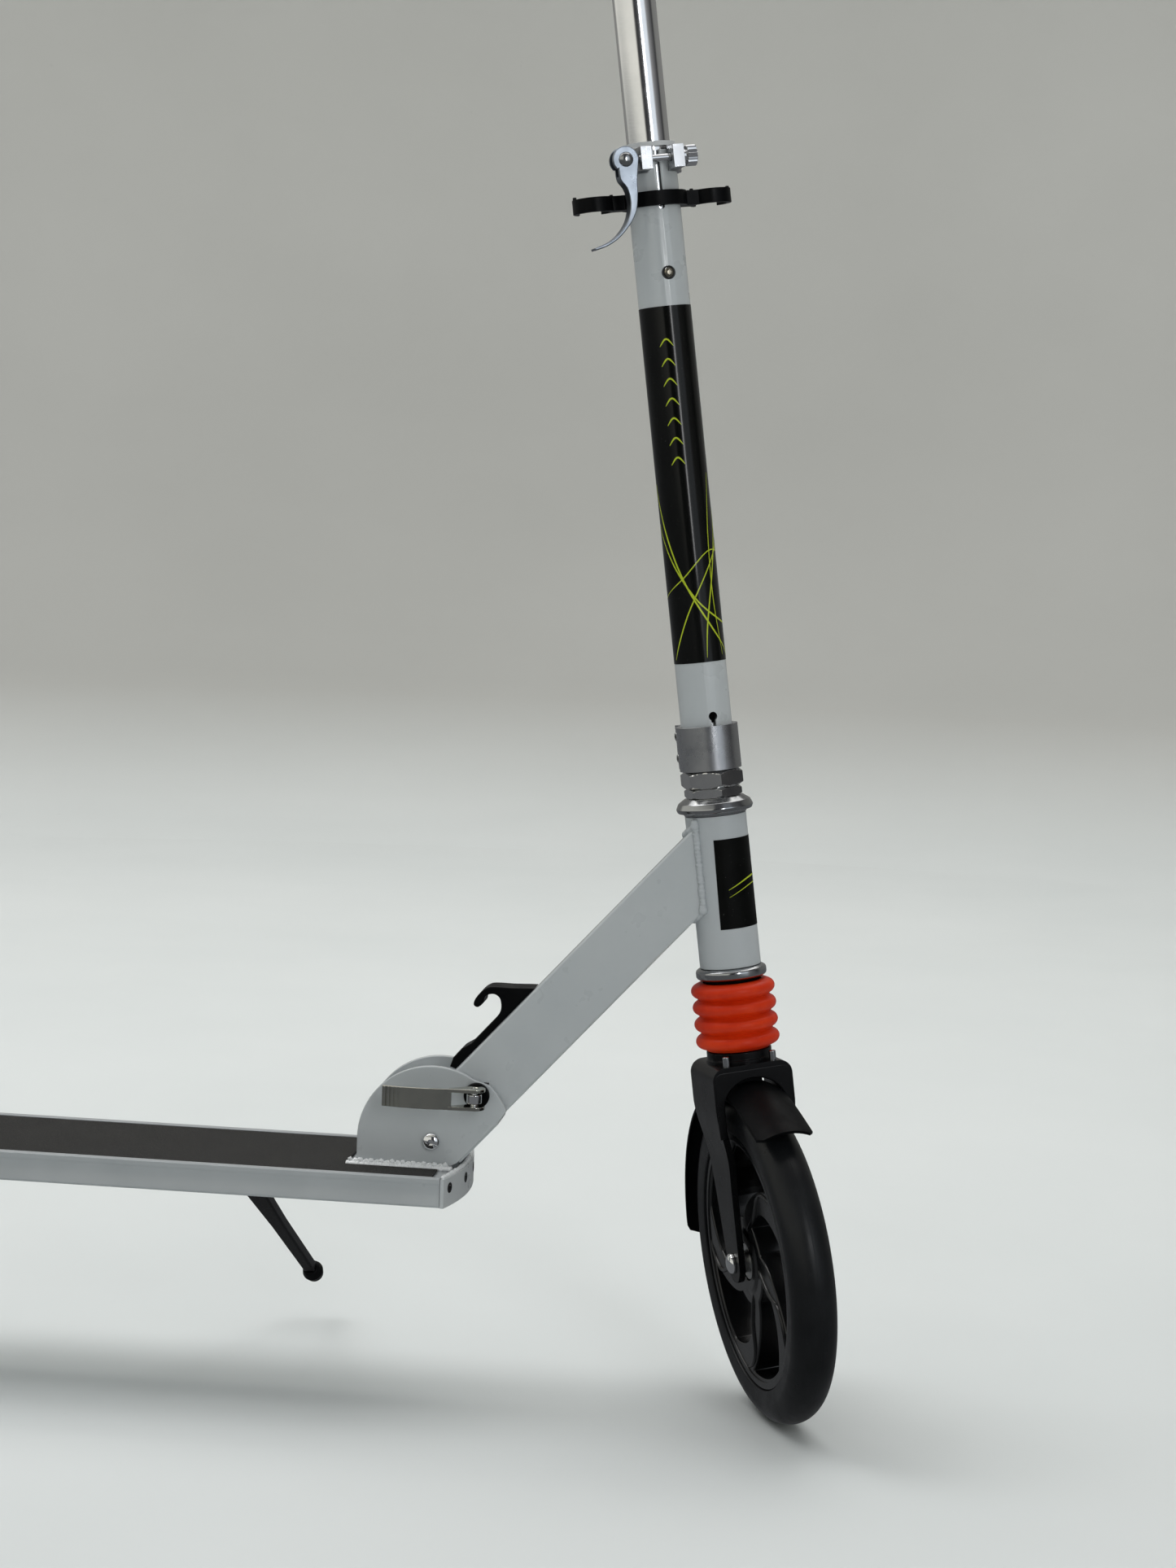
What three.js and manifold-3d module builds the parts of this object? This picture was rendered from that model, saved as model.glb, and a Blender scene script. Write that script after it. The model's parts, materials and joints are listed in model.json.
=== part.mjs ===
// Folding kick scooter with two large wheels, sprung fork, kickstand and height-adjustable T handlebar.
// Millimetres. +X is forward, +Y is the rider's left, +Z is up. The steering stands turned to the right.
import * as THREE from 'three';
import { mergeVertices } from 'three/addons/utils/BufferGeometryUtils.js';
import Module from 'manifold-3d';

const wasm = await Module();
wasm.setup();

// ---- driving dimensions -------------------------------------------------------------------------
const GAP = 0.3;                    // air between touching pieces

const WHEEL_R = 100;                // both wheels, 200 mm diameter
const TYRE_HALF = 14;               // half the tyre's width
const TYRE_IN = 77.8;               // tyre's inner radius
const HUB_R = 77.5;                 // hub rim's outer radius
const HUB_HALF = 12;                // half the hub's width
const SPOKES = 5;
const AXLE_R = 4;
const BEARING_R = 11;
const REAR_X = -690;                // rear axle, measured from the front axle when steered straight

const LEAN = THREE.MathUtils.degToRad(8.1);      // steering axis leans back from vertical
const TURN = THREE.MathUtils.degToRad(68);       // steering turned right
const OFFSET = 10;                  // front axle ahead of the steering axis

const DECK_FRONT = -199.3;
const DECK_REAR = -575;
const DECK_HALF = 53.5;
const DECK_TOP = 145.3;             // top of the rims
const DECK_LOW = 127.2;
const RECESS = 2.2;                 // grip tape's recess below the rims
const RIM_W = 4.5;
const TAPE_T = 1.2;

const PIVOT_X = -210.5;             // fold pivot
const PIVOT_Z = 160.3;
const BEAM_ANGLE = THREE.MathUtils.degToRad(48.2);
const BEAM_D = 39.4;                // beam's depth
const BEAM_HALF = 15;               // half the beam's width
const BEAM_WALL = 2;
const BEAM_LEN = 256;
const LOCK_R = 40.5;                // fold skewer, measured from the pivot
const PLATE_IN = 15.5;
const PLATE_T = 4;
const PLATE_R = 46;

const HEAD_R = 18.4;                // head tube
const HEAD_LOW = 178.5;             // heights along the steering axis, from the level of the front axle
const HEAD_HIGH = 270.6;
const STEERER_R = 12.7;
const STEERER_IN = 10.6;
const STEERER_LOW = 160;
const STEERER_HIGH = 326;
const STANCHION_R = 9.9;
const COLUMN_R = 15.4;
const COLUMN_IN = 13.9;
const COLUMN_LOW = 298.2;
const COLUMN_HIGH = 664;
const COLLAR_LOW = 297.7;
const COLLAR_HIGH = 324.3;
const CLAMP_LOW = 651;
const CLAMP_HIGH = 666;
const CLAMP_BOLT_U = 20.5;
const CLAMP_BOLT_W = 658.5;
const STEM_PIVOT_V = -22;
const CLIP_LOW = 631.6;
const CLIP_HIGH = 640.2;
const BUTTON_W = 592.4;
const UPPER_R = 12.75;              // telescoping tube, 25.4 mm
const UPPER_LOW = 560;
const BAR_W = 856;                  // handlebar's height along the axis
const BAR_R = 11;
const GRIP_R = 16;
const GRIP_IN = 88;
const GRIP_END = 196;

const CROWN_TOP = 121;
const CROWN_LOW = 115.6;
const FORK_HALF = 25;
const LEG_T = 4;

const GUARD_IN = 107.6;             // mudguard's inner radius round the front axle
const GUARD_T = 2.4;
const GUARD_HALF = 17.6;
const GUARD_REAR = 182;             // angles round the axle, from forward: rear edge, start of the lip, tip
const GUARD_LIP = 70;
const GUARD_TIP = 51.5;
const GUARD_FLARE = 4.4;            // how far the tip stands off the guard's curve

const ORIGIN_X = -386;              // the row's origin: deck's middle, on the standing surface
const ORIGIN_Z = DECK_TOP - RECESS + GAP + TAPE_T;

// ---- helpers ------------------------------------------------------------------------------------
const v3 = (x, y, z) => new THREE.Vector3(x, y, z);
const rad = THREE.MathUtils.degToRad;

function basis(origin, x, y, z) {
  return new THREE.Matrix4().makeBasis(x, y, z).setPosition(origin);
}

const axisUp = v3(-Math.sin(LEAN), 0, Math.cos(LEAN));
const straight = v3(Math.cos(LEAN), 0, Math.sin(LEAN));
const left0 = v3(0, 1, 0);
const forward = straight.clone().applyAxisAngle(axisUp, -TURN);
const left = left0.clone().applyAxisAngle(axisUp, -TURN);
const axisFoot = v3(0, 0, WHEEL_R).addScaledVector(straight, -OFFSET);

const WORLD = new THREE.Matrix4();
const HEAD = basis(axisFoot, straight, left0, axisUp);
const STEER = basis(axisFoot, forward, left, axisUp);
const BEAM = basis(
  v3(PIVOT_X, 0, PIVOT_Z),
  v3(Math.cos(BEAM_ANGLE), 0, Math.sin(BEAM_ANGLE)),
  left0,
  v3(-Math.sin(BEAM_ANGLE), 0, Math.cos(BEAM_ANGLE)),
);

// Welds a geometry's vertices, drops its slivers and turns it right side out.
function weld(geometry) {
  const g = geometry.clone();
  g.deleteAttribute('normal');
  g.deleteAttribute('uv');
  const m = mergeVertices(g, 1e-4);
  const index = m.getIndex().array;
  const p = m.getAttribute('position').array;
  const kept = [];
  let volume = 0;
  for (let i = 0; i < index.length; i += 3) {
    const [a, b, c] = [index[i], index[i + 1], index[i + 2]];
    if (a === b || b === c || a === c) continue;
    kept.push(a, b, c);
    const A = v3(p[3 * a], p[3 * a + 1], p[3 * a + 2]);
    const B = v3(p[3 * b], p[3 * b + 1], p[3 * b + 2]);
    const C = v3(p[3 * c], p[3 * c + 1], p[3 * c + 2]);
    volume += A.dot(B.cross(C));
  }
  if (volume < 0) kept.reverse();
  return { verts: p, tris: kept };
}

function solid(geometry) {
  const { verts, tris } = weld(geometry);
  const mesh = new wasm.Mesh({
    numProp: 3,
    vertProperties: new Float32Array(verts),
    triVerts: new Uint32Array(tris),
  });
  return new wasm.Manifold(mesh);
}

function join(first, ...others) {
  return others.reduce((sum, g) => sum.add(g.isBufferGeometry ? solid(g) : g), asSolid(first));
}

function cut(first, ...others) {
  return others.reduce((rest, g) => rest.subtract(g.isBufferGeometry ? solid(g) : g), asSolid(first));
}

function common(first, second) {
  return asSolid(first).intersect(asSolid(second));
}

function asSolid(g) {
  return g.isBufferGeometry ? solid(g) : g;
}

function toGeometry(manifold) {
  const m = manifold.getMesh();
  const g = new THREE.BufferGeometry();
  const n = m.numProp;
  const pos = new Float32Array((m.vertProperties.length / n) * 3);
  for (let i = 0; i < pos.length / 3; i += 1) {
    for (let k = 0; k < 3; k += 1) pos[3 * i + k] = m.vertProperties[n * i + k];
  }
  g.setAttribute('position', new THREE.BufferAttribute(pos, 3));
  g.setIndex(Array.from(m.triVerts));
  return g;
}

// A flat outline in the local XY plane, made thick along Z from z0 to z1.
function slab(points, z0, z1, holes = []) {
  const shape = new THREE.Shape(points.map(([x, y]) => new THREE.Vector2(x, y)));
  const g = new THREE.ExtrudeGeometry(shape, { depth: z1 - z0, bevelEnabled: false }).translate(0, 0, z0);
  if (!holes.length) return g;
  return toGeometry(cut(g, ...holes.map((hole) => slab(hole, z0 - 1, z1 + 1))));
}

function arc(cx, cy, r, from, to, steps) {
  const out = [];
  for (let i = 0; i <= steps; i += 1) {
    const a = rad(from + ((to - from) * i) / steps);
    out.push([cx + r * Math.cos(a), cy + r * Math.sin(a)]);
  }
  return out;
}

function circle(cx, cy, r, steps) {
  return arc(cx, cy, r, 0, 360 - 360 / steps, steps - 1);
}

function lathe(profile, segments = 32) {
  const points = profile.map(([r, z]) => new THREE.Vector2(r, z));
  return new THREE.LatheGeometry(points, segments).rotateX(Math.PI / 2);
}

// A round ring or tube standing on Z.
function tube(outer, inner, z0, z1, segments = 32) {
  return lathe([[inner, z0], [outer, z0], [outer, z1], [inner, z1], [inner, z0]], segments);
}

function rod(r, z0, z1, segments = 24) {
  return lathe([[0, z0], [r, z0], [r, z1], [0, z1]], segments);
}

function box(x0, x1, y0, y1, z0, z1) {
  const g = new THREE.BoxGeometry(x1 - x0, y1 - y0, z1 - z0);
  return g.translate((x0 + x1) / 2, (y0 + y1) / 2, (z0 + z1) / 2);
}

// Turns a shape made along Z to lie along Y, or a slab in XY to stand in XZ (Z grows up, thickness along Y).
const alongY = (g) => g.rotateX(-Math.PI / 2);
const upright = (g) => g.rotateX(Math.PI / 2).scale(1, -1, 1);
const alongX = (g) => g.rotateY(Math.PI / 2);

// Stands an XZ outline up between y0 and y1.
function wall(points, y0, y1, holes = []) {
  return upright(slab(points, y0, y1, holes));
}

class Helix extends THREE.Curve {
  constructor(radius, pitch, turns) {
    super();
    Object.assign(this, { radius, pitch, turns });
  }

  getPoint(t, target = new THREE.Vector3()) {
    const a = 2 * Math.PI * this.turns * t;
    return target.set(this.radius * Math.cos(a), this.radius * Math.sin(a), this.pitch * this.turns * t);
  }
}

function coil(radius, wire, turns, z0, z1, perTurn = 14) {
  const section = new THREE.Shape(circle(0, 0, wire, 5).map(([x, y]) => new THREE.Vector2(x, y)));
  const low = z0 + wire;
  const path = new Helix(radius, (z1 - wire - low) / turns, turns);
  const options = { steps: Math.round(turns * perTurn), bevelEnabled: false, extrudePath: path };
  return new THREE.ExtrudeGeometry(section, options).translate(0, 0, low);
}

// ---- assembly -----------------------------------------------------------------------------------
const group = new THREE.Group();
group.name = 'kick_scooter';

const COLOURS = {
  white: [0xe9ebec, 0.35, 0.0],
  black: [0x141516, 0.35, 0.0],
  tyre: [0x1b1c1e, 0.55, 0.0],
  tape: [0x2b2b2c, 0.95, 0.0],
  chrome: [0xc9ccd0, 0.12, 1.0],
  steel: [0xb4b7ba, 0.3, 1.0],
  alloy: [0xb9bcbf, 0.38, 1.0],
  orange: [0xe2401c, 0.5, 0.0],
  foam: [0x18181a, 0.9, 0.0],
};

function add(name, shape, place, look) {
  const { verts, tris } = weld(shape.isBufferGeometry ? shape : toGeometry(shape));
  const g = new THREE.BufferGeometry();
  g.setAttribute('position', new THREE.BufferAttribute(new Float32Array(verts), 3));
  g.setIndex(tris);
  g.applyMatrix4(place);
  g.translate(-ORIGIN_X, 0, -ORIGIN_Z);
  const [color, roughness, metalness] = COLOURS[look];
  const mesh = new THREE.Mesh(g, new THREE.MeshStandardMaterial({ color, roughness, metalness }));
  mesh.name = name;
  mesh.material.name = name;
  group.add(mesh);
}

// ---- deck ---------------------------------------------------------------------------------------
function deckSection() {
  const floor = DECK_TOP - RECESS;
  const inside = DECK_HALF - RIM_W;
  const outline = [
    [-DECK_HALF + 1.5, DECK_LOW], [DECK_HALF - 1.5, DECK_LOW], [DECK_HALF, DECK_LOW + 1.5],
    [DECK_HALF, DECK_TOP - 1], [DECK_HALF - 1, DECK_TOP], [inside, DECK_TOP], [inside, floor],
    [-inside, floor], [-inside, DECK_TOP], [-DECK_HALF + 1, DECK_TOP], [-DECK_HALF, DECK_TOP - 1],
    [-DECK_HALF, DECK_LOW + 1.5],
  ];
  const cells = [];
  for (const [a, b] of [[-51.6, -18.9], [-17.1, 17.1], [18.9, 51.6]]) {
    cells.push([[a, DECK_LOW + 1.9], [b, DECK_LOW + 1.9], [b, floor - 2], [a, floor - 2]]);
  }
  return slab(outline, DECK_REAR, DECK_FRONT, cells)
    .applyMatrix4(basis(v3(0, 0, 0), v3(0, 1, 0), v3(0, 0, 1), v3(1, 0, 0)));
}
add('deck_frame', deckSection(), WORLD, 'white');

const tapeHalf = DECK_HALF - RIM_W - 0.6;
const tapeZ = DECK_TOP - RECESS + GAP;
add('grip_tape', slab([
  [DECK_REAR + 12, -tapeHalf], [DECK_FRONT - 6, -tapeHalf], [DECK_FRONT - 6, -25], [-262, -25],
  [-262, 25], [DECK_FRONT - 6, 25], [DECK_FRONT - 6, tapeHalf], [DECK_REAR + 12, tapeHalf],
], tapeZ, tapeZ + TAPE_T), WORLD, 'tape');

// The end piece bows forward 8 mm in the middle.
const NOSE_BOW = 8;
function bow(y, back) {
  return DECK_FRONT + 2.5 - back + NOSE_BOW * (1 - (y / DECK_HALF) ** 2);
}
function nose() {
  const front = [];
  const rear = [];
  for (let i = 0; i <= 14; i += 1) {
    const y = DECK_HALF * (-1 + i / 7);
    front.push([bow(y, 0), y]);
    rear.unshift([Math.max(bow(y, 2.6), DECK_FRONT + GAP), y * 0.998]);
  }
  const plate = slab([...front, ...rear], DECK_LOW, DECK_TOP - 0.4);
  const holes = [-45, -15, 15, 45].map((y) => alongX(rod(2.1, -20, 20, 16)).translate(-190, y, 137.5));
  return cut(plate, ...holes);
}
add('deck_nose', nose(), WORLD, 'white');

// ---- fold plates, pivot and quick-release skewer --------------------------------------------------
const beamDir = [Math.cos(BEAM_ANGLE), Math.sin(BEAM_ANGLE)];
const LOCK_X = PIVOT_X + LOCK_R * beamDir[0];
const LOCK_Z = PIVOT_Z + LOCK_R * beamDir[1];
const plateFoot = DECK_TOP - RECESS + GAP;

function foldPlate(y0, y1) {
  const outline = [
    [PIVOT_X - PLATE_R, plateFoot],
    ...arc(PIVOT_X, PIVOT_Z, PLATE_R, 180, 58, 16),
    ...arc(PIVOT_X, PIVOT_Z, PLATE_R + 3.8, 46, 30, 4),
    [PIVOT_X + 15, PIVOT_Z - 12.6],
    [PIVOT_X + 8, plateFoot],
  ];
  const holes = [
    circle(PIVOT_X, PIVOT_Z, AXLE_R + GAP, 20),
    circle(LOCK_X, LOCK_Z, 3 + GAP, 16),
  ];
  return wall(outline, y0, y1, holes);
}
add('fold_plate_right', foldPlate(-PLATE_IN - PLATE_T, -PLATE_IN), WORLD, 'white');
add('fold_plate_left', foldPlate(PLATE_IN, PLATE_IN + PLATE_T), WORLD, 'white');

const plateOut = PLATE_IN + PLATE_T;
const pivotAt = new THREE.Matrix4().makeTranslation(PIVOT_X, 0, PIVOT_Z);
const lockAt = new THREE.Matrix4().makeTranslation(LOCK_X, 0, LOCK_Z);

function domedBolt(shankR, headR, headAt, headT, end) {
  const s = Math.sign(end - headAt);
  return alongY(lathe([
    [0, headAt - s * headT], [headR * 0.45, headAt - s * headT], [headR * 0.8, headAt - s * headT * 0.72],
    [headR, headAt - s * headT * 0.25], [headR, headAt], [shankR, headAt], [shankR, end], [0, end],
  ], 16));
}

function hexNut(across, holeR, y0, y1) {
  const corner = across / 2 / Math.cos(Math.PI / 6);
  return alongY(slab(circle(0, 0, corner, 6), y0, y1, [circle(0, 0, holeR, 16)]));
}
add('fold_pivot_bolt', domedBolt(AXLE_R, 5.4, -plateOut - GAP, 4.2, 27), pivotAt, 'chrome');
add('fold_pivot_nut', hexNut(13, AXLE_R + GAP, plateOut + GAP, plateOut + 6.5), pivotAt, 'steel');

const WASHER_T = 4.6;
const CAM_Y = -31.5;
const CAM_R = 6.6;
add('fold_skewer', alongY(rod(3, -26.4, 28, 16)), lockAt, 'steel');
add('fold_skewer_washer', alongY(tube(7.8, 3.3, -plateOut - WASHER_T, -plateOut - GAP, 24)), lockAt, 'black');
add('fold_skewer_nut', alongY(tube(7, 3.3, plateOut + GAP, plateOut + 7, 24)), lockAt, 'steel');
function camPin() {
  const half = 4.2;
  return lathe([
    [0, -6.2], [2, -6.2], [2, -half], [4.6, -half], [4.6, half], [2, half], [2, 6.2], [0, 6.2],
  ], 20).translate(0, CAM_Y, 0);
}
add('fold_cam_pin', camPin(), lockAt, 'chrome');

function foldLever() {
  const arm = [
    ...arc(0, CAM_Y, CAM_R, -80, 100, 10), [-8, CAM_Y + 1.5], [-15, CAM_Y - 4.2], [-15, CAM_Y - 7.7],
  ];
  const parts = [];
  for (const side of [-1, 1]) {
    const a = side < 0 ? -6.4 : 4.6;
    parts.push(slab(arm, a, a + 1.8, [circle(0, CAM_Y, 2.3, 14)]));
  }
  const bend = [
    [-13, CAM_Y - 5.8], [-15, CAM_Y - 7.7], [-30, CAM_Y - 8.6], [-55, CAM_Y - 7], [-55, CAM_Y - 5.2],
    [-30, CAM_Y - 6.8], [-15, CAM_Y - 5.8],
  ];
  parts.push(slab(bend, -6.4, 6.4));
  return join(...parts);
}
add('fold_lever', foldLever(), lockAt, 'chrome');

// ---- kickstand ------------------------------------------------------------------------------------
const KICK = v3(-333, 34, 115);
const FOOT = v3(-313, 138, 34);
const legDir = FOOT.clone().sub(KICK).normalize();
const foldedDir = v3(-1, 0, 0);
const kickAxis = legDir.clone().cross(foldedDir).normalize();
const kickSide = kickAxis.clone().cross(legDir);
const KICK_FRAME = basis(KICK, legDir, kickSide, kickAxis);
const LEG_LEN = FOOT.distanceTo(KICK);

function kickLeg() {
  const outline = [
    ...arc(0, 0, 8, 60, 300, 12), [LEG_LEN * 0.45, -4.6], [LEG_LEN - 4, -3.8], [LEG_LEN - 4, 3.8],
    [LEG_LEN * 0.45, 4.6],
  ];
  return slab(outline, -3.6, 3.6, [circle(0, 0, 3.3, 16)]);
}
add('kickstand_leg', kickLeg(), KICK_FRAME, 'black');
add('kickstand_foot', alongX(lathe([
  [0, LEG_LEN - 3.7], [5.5, LEG_LEN - 3.7], [7, LEG_LEN + 2], [5.5, LEG_LEN + 8], [0, LEG_LEN + 9],
], 16)), KICK_FRAME, 'black');

function kickBracket() {
  const post = tube(9, 3.3, 3.9, 26, 20).applyMatrix4(KICK_FRAME);
  const under = box(-380, -290, -10, 90, 90, DECK_LOW - GAP);
  const foot = box(-352, -314, 22, 51, DECK_LOW - GAP - 2.8, DECK_LOW - GAP);
  const core = rod(3.3, 3.9, 26, 16).applyMatrix4(KICK_FRAME);
  return cut(common(join(post, foot), under), core);
}
add('kickstand_bracket', kickBracket(), WORLD, 'steel');
add('kickstand_bolt', lathe([
  [0, -6.6], [5.2, -6.6], [5.2, -3.9], [3, -3.9], [3, 11], [0, 11],
], 16), KICK_FRAME, 'steel');

// ---- rear fork, brake fender and rear wheel -------------------------------------------------------
const FENDER_X = REAR_X + 98;
const FENDER_Z = WHEEL_R + 60;

function rearFork() {
  const side = [
    [DECK_REAR - GAP, DECK_TOP - 1], [FENDER_X + 8, FENDER_Z - 2],
    ...arc(FENDER_X, FENDER_Z, 8, 15, 165, 8),
    [REAR_X + 76, WHEEL_R + 34],
    ...arc(REAR_X, WHEEL_R, 13, 60, 300, 12),
    [DECK_REAR - GAP, DECK_LOW + 1],
  ];
  const holes = [circle(REAR_X, WHEEL_R, AXLE_R + GAP, 16), circle(FENDER_X, FENDER_Z, 3 + GAP, 14)];
  const bridge = box(DECK_REAR - 8, DECK_REAR - GAP, -30, 30, DECK_LOW + 1, DECK_TOP - 1);
  return join(wall(side, -24, -20, holes), wall(side, 20, 24, holes), bridge);
}
add('rear_fork', rearFork(), WORLD, 'white');
const rearAt = new THREE.Matrix4().makeTranslation(REAR_X, 0, WHEEL_R);
add('rear_axle_bolt', domedBolt(AXLE_R, 6.4, -24.3, 4, 31), rearAt, 'chrome');
add('rear_axle_nut', hexNut(13, AXLE_R + GAP, 24.3, 30), rearAt, 'steel');

const fenderAt = new THREE.Matrix4().makeTranslation(FENDER_X, 0, FENDER_Z);
add('fender_pin', domedBolt(3, 5, -24.3, 2.6, 27), fenderAt, 'steel');
add('fender_spring', alongY(coil(5.2, 0.8, 4, -9, 9, 10)), fenderAt, 'steel');

const FENDER_IN = 107.5;
function fender() {
  const start = 37;
  const stop = 152;
  const skin = [
    ...arc(REAR_X, WHEEL_R, FENDER_IN + 2.6, start, stop, 18),
    [REAR_X + 118 * Math.cos(rad(156)), WHEEL_R + 118 * Math.sin(rad(156))],
    ...arc(REAR_X, WHEEL_R, FENDER_IN, stop, start, 18),
  ];
  const lug = [
    ...arc(FENDER_X, FENDER_Z, 6.8, -120, 60, 10),
    ...arc(REAR_X, WHEEL_R, FENDER_IN + 2.6, start, start + 14, 3),
    ...arc(REAR_X, WHEEL_R, FENDER_IN + 0.6, start + 14, start, 3),
  ];
  const hole = [circle(FENDER_X, FENDER_Z, 3 + GAP, 14)];
  return join(wall(skin, -19, 19), wall(lug, -18.6, -13, hole), wall(lug, 13, 18.6, hole));
}
add('brake_fender', fender(), WORLD, 'black');

function spokeWindow(turn) {
  const edge = (from, bend, lead) => {
    const out = [];
    for (let i = 0; i <= 6; i += 1) {
      const t = i / 6;
      const r = 27 + (71 - 27) * t;
      const a = rad(turn + from + lead * t + bend * Math.sin(Math.PI * t));
      out.push([r * Math.cos(a), r * Math.sin(a)]);
    }
    return out;
  };
  const one = edge(14, -6, 40);
  const other = edge(54, 4, 44).reverse();
  return [...one, ...other];
}

function hub() {
  const windows = [];
  for (let i = 0; i < SPOKES; i += 1) windows.push(spokeWindow((360 / SPOKES) * i));
  const bore = circle(0, 0, BEARING_R + GAP, 24);
  return alongY(slab(circle(0, 0, HUB_R, 40), -HUB_HALF, HUB_HALF, [...windows, bore]));
}

function tyre() {
  const r = WHEEL_R - TYRE_HALF;
  const crown = arc(r, 0, TYRE_HALF, -90, 90, 6);
  return alongY(lathe([[TYRE_IN, -12.5], ...crown, [TYRE_IN, 12.5], [TYRE_IN, -12.5]], 48));
}

// Two bearings and the spacer between them, as one cartridge.
function bearings(half) {
  const inner = AXLE_R + GAP;
  return alongY(lathe([
    [inner, -half], [7, -half], [7, -HUB_HALF], [BEARING_R, -HUB_HALF], [BEARING_R, -5], [7, -5], [7, 5],
    [BEARING_R, 5], [BEARING_R, HUB_HALF], [7, HUB_HALF], [7, half], [inner, half], [inner, -half],
  ], 16));
}
add('rear_hub', hub(), rearAt, 'black');
add('rear_tyre', tyre(), rearAt, 'tyre');
add('rear_bearings', bearings(19.6), rearAt, 'steel');

// ---- beam and head --------------------------------------------------------------------------------
function beam() {
  const d = BEAM_D / 2;
  const outer = box(-1, BEAM_LEN, -BEAM_HALF, BEAM_HALF, -d, d);
  const w = BEAM_WALL;
  const bore = box(-30, BEAM_LEN + 5, -BEAM_HALF + w, BEAM_HALF - w, -d + w, d - w);
  const nose = wall([...arc(0, 0, 13.6, 95, 265, 12), [6, -13.6], [6, 13.6]], -BEAM_HALF, BEAM_HALF);
  const headCut = rod(HEAD_R + GAP, HEAD_LOW - 60, HEAD_HIGH + 60, 40)
    .applyMatrix4(HEAD).applyMatrix4(BEAM.clone().invert());
  const path = [];
  path.push(...arc(0, 0, LOCK_R + 3.8, 6, -46, 14));
  path.push(...arc(0, 0, LOCK_R - 3.8, -46, 6, 14));
  const slot = wall(path, -40, 40);
  const tail = wall([
    [LOCK_R, -1.9], [LOCK_R + 7.6, -1.9], [LOCK_R + 9.4, 0], [LOCK_R + 7.6, 1.9], [LOCK_R, 1.9],
  ], -40, 40);
  const pin = alongY(rod(AXLE_R + GAP, -40, 40, 20));
  const ahead = box(0, 300, -60, 60, HEAD_LOW - 200, HEAD_HIGH + 200)
    .applyMatrix4(HEAD).applyMatrix4(BEAM.clone().invert());
  return cut(join(outer, nose), bore, slot, tail, pin, headCut, ahead);
}
add('beam_tube', beam(), BEAM, 'white');

add('head_tube', tube(HEAD_R, 15.9, HEAD_LOW, HEAD_HIGH, 28), HEAD, 'white');
add('upper_cup', lathe([
  [13.1, 270.9], [18.9, 270.9], [18.9, 272.6], [21.8, 272.6], [23.2, 275],
  [20.8, 279.2], [17.6, 281.1], [13.1, 281.1], [13.1, 270.9],
], 28), HEAD, 'chrome');
add('lower_cup', lathe([
  [13.1, 171], [19, 171], [20.6, 172], [21.3, 174.6], [20.6, 177.2], [19, 178.2],
  [13.1, 178.2], [13.1, 171],
], 28), HEAD, 'chrome');

function fingerPull() {
  const top = BEAM_D / 2 + GAP;
  const outline = [
    [40, top], [110, top], [106.6, 23.6], [92.2, 39.2], [88.4, 41.4], [84.5, 41.8], [79.6, 41.4],
    [76.6, 40.1], [76.1, 38.1], [77.6, 36.4], [81.2, 36.1], [83.4, 37.6], [85.4, 38.3], [89.2, 36],
    [90.4, 33], [90.1, 30],
    [85.5, 24.6], [80, 24.2], [58, 24.2], [52, 26.4], [44, 26.2], [38.4, 24],
  ];
  return wall(outline, -9, 9);
}
add('finger_pull', fingerPull(), BEAM, 'black');

// ---- steering column --------------------------------------------------------------------------------
add('steerer', lathe([
  [STEERER_IN, STEERER_LOW], [16.4, STEERER_LOW], [16.4, STEERER_LOW + 3], [STEERER_R, STEERER_LOW + 3],
  [STEERER_R, STEERER_HIGH], [STEERER_IN, STEERER_HIGH], [STEERER_IN, STEERER_LOW],
], 24), STEER, 'steel');
add('seal_ring', tube(16, 13.1, 166.8, 170.7, 28), STEER, 'black');

function chamferedHex(corner, holeR, z0, z1, chamfer) {
  const prism = slab(circle(0, 0, corner, 6), z0, z1);
  const turned = lathe([
    [0, z0], [corner - chamfer, z0], [corner, z0 + chamfer * 0.6], [corner, z1 - chamfer * 0.6],
    [corner - chamfer, z1], [0, z1],
  ], 24);
  return cut(common(prism, turned), rod(holeR, z0 - 5, z1 + 5, 20));
}
add('thin_nut', chamferedHex(17.8, 13, 281.4, 286.6, 1.6), STEER, 'chrome');
add('locknut', chamferedHex(19.2, 13, 286.9, 297.4, 3), STEER, 'chrome');

function collar() {
  const ring = rod(18.6, COLLAR_LOW, COLLAR_HIGH, 28);
  const ears = box(-26, -8, -12, 12, COLLAR_LOW, COLLAR_HIGH);
  const bore = rod(COLUMN_R + GAP, COLLAR_LOW - 5, COLLAR_HIGH + 5, 28);
  const slit = box(-40, -2, -1.2, 1.2, COLLAR_LOW - 5, COLLAR_HIGH + 5);
  const holes = [304.4, 317.6].map((w) => alongY(rod(2.6, -30, 30, 14)).translate(-21.6, 0, w));
  return cut(join(ring, ears), bore, slit, ...holes);
}
add('clamp_collar', collar(), STEER, 'alloy');
for (const [name, w] of [['collar_bolt_lower', 304.4], ['collar_bolt_upper', 317.6]]) {
  add(name, alongY(rod(2.2, -11.4, 11.4, 14)).translate(-21.6, 0, w), STEER, 'steel');
}

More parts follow.
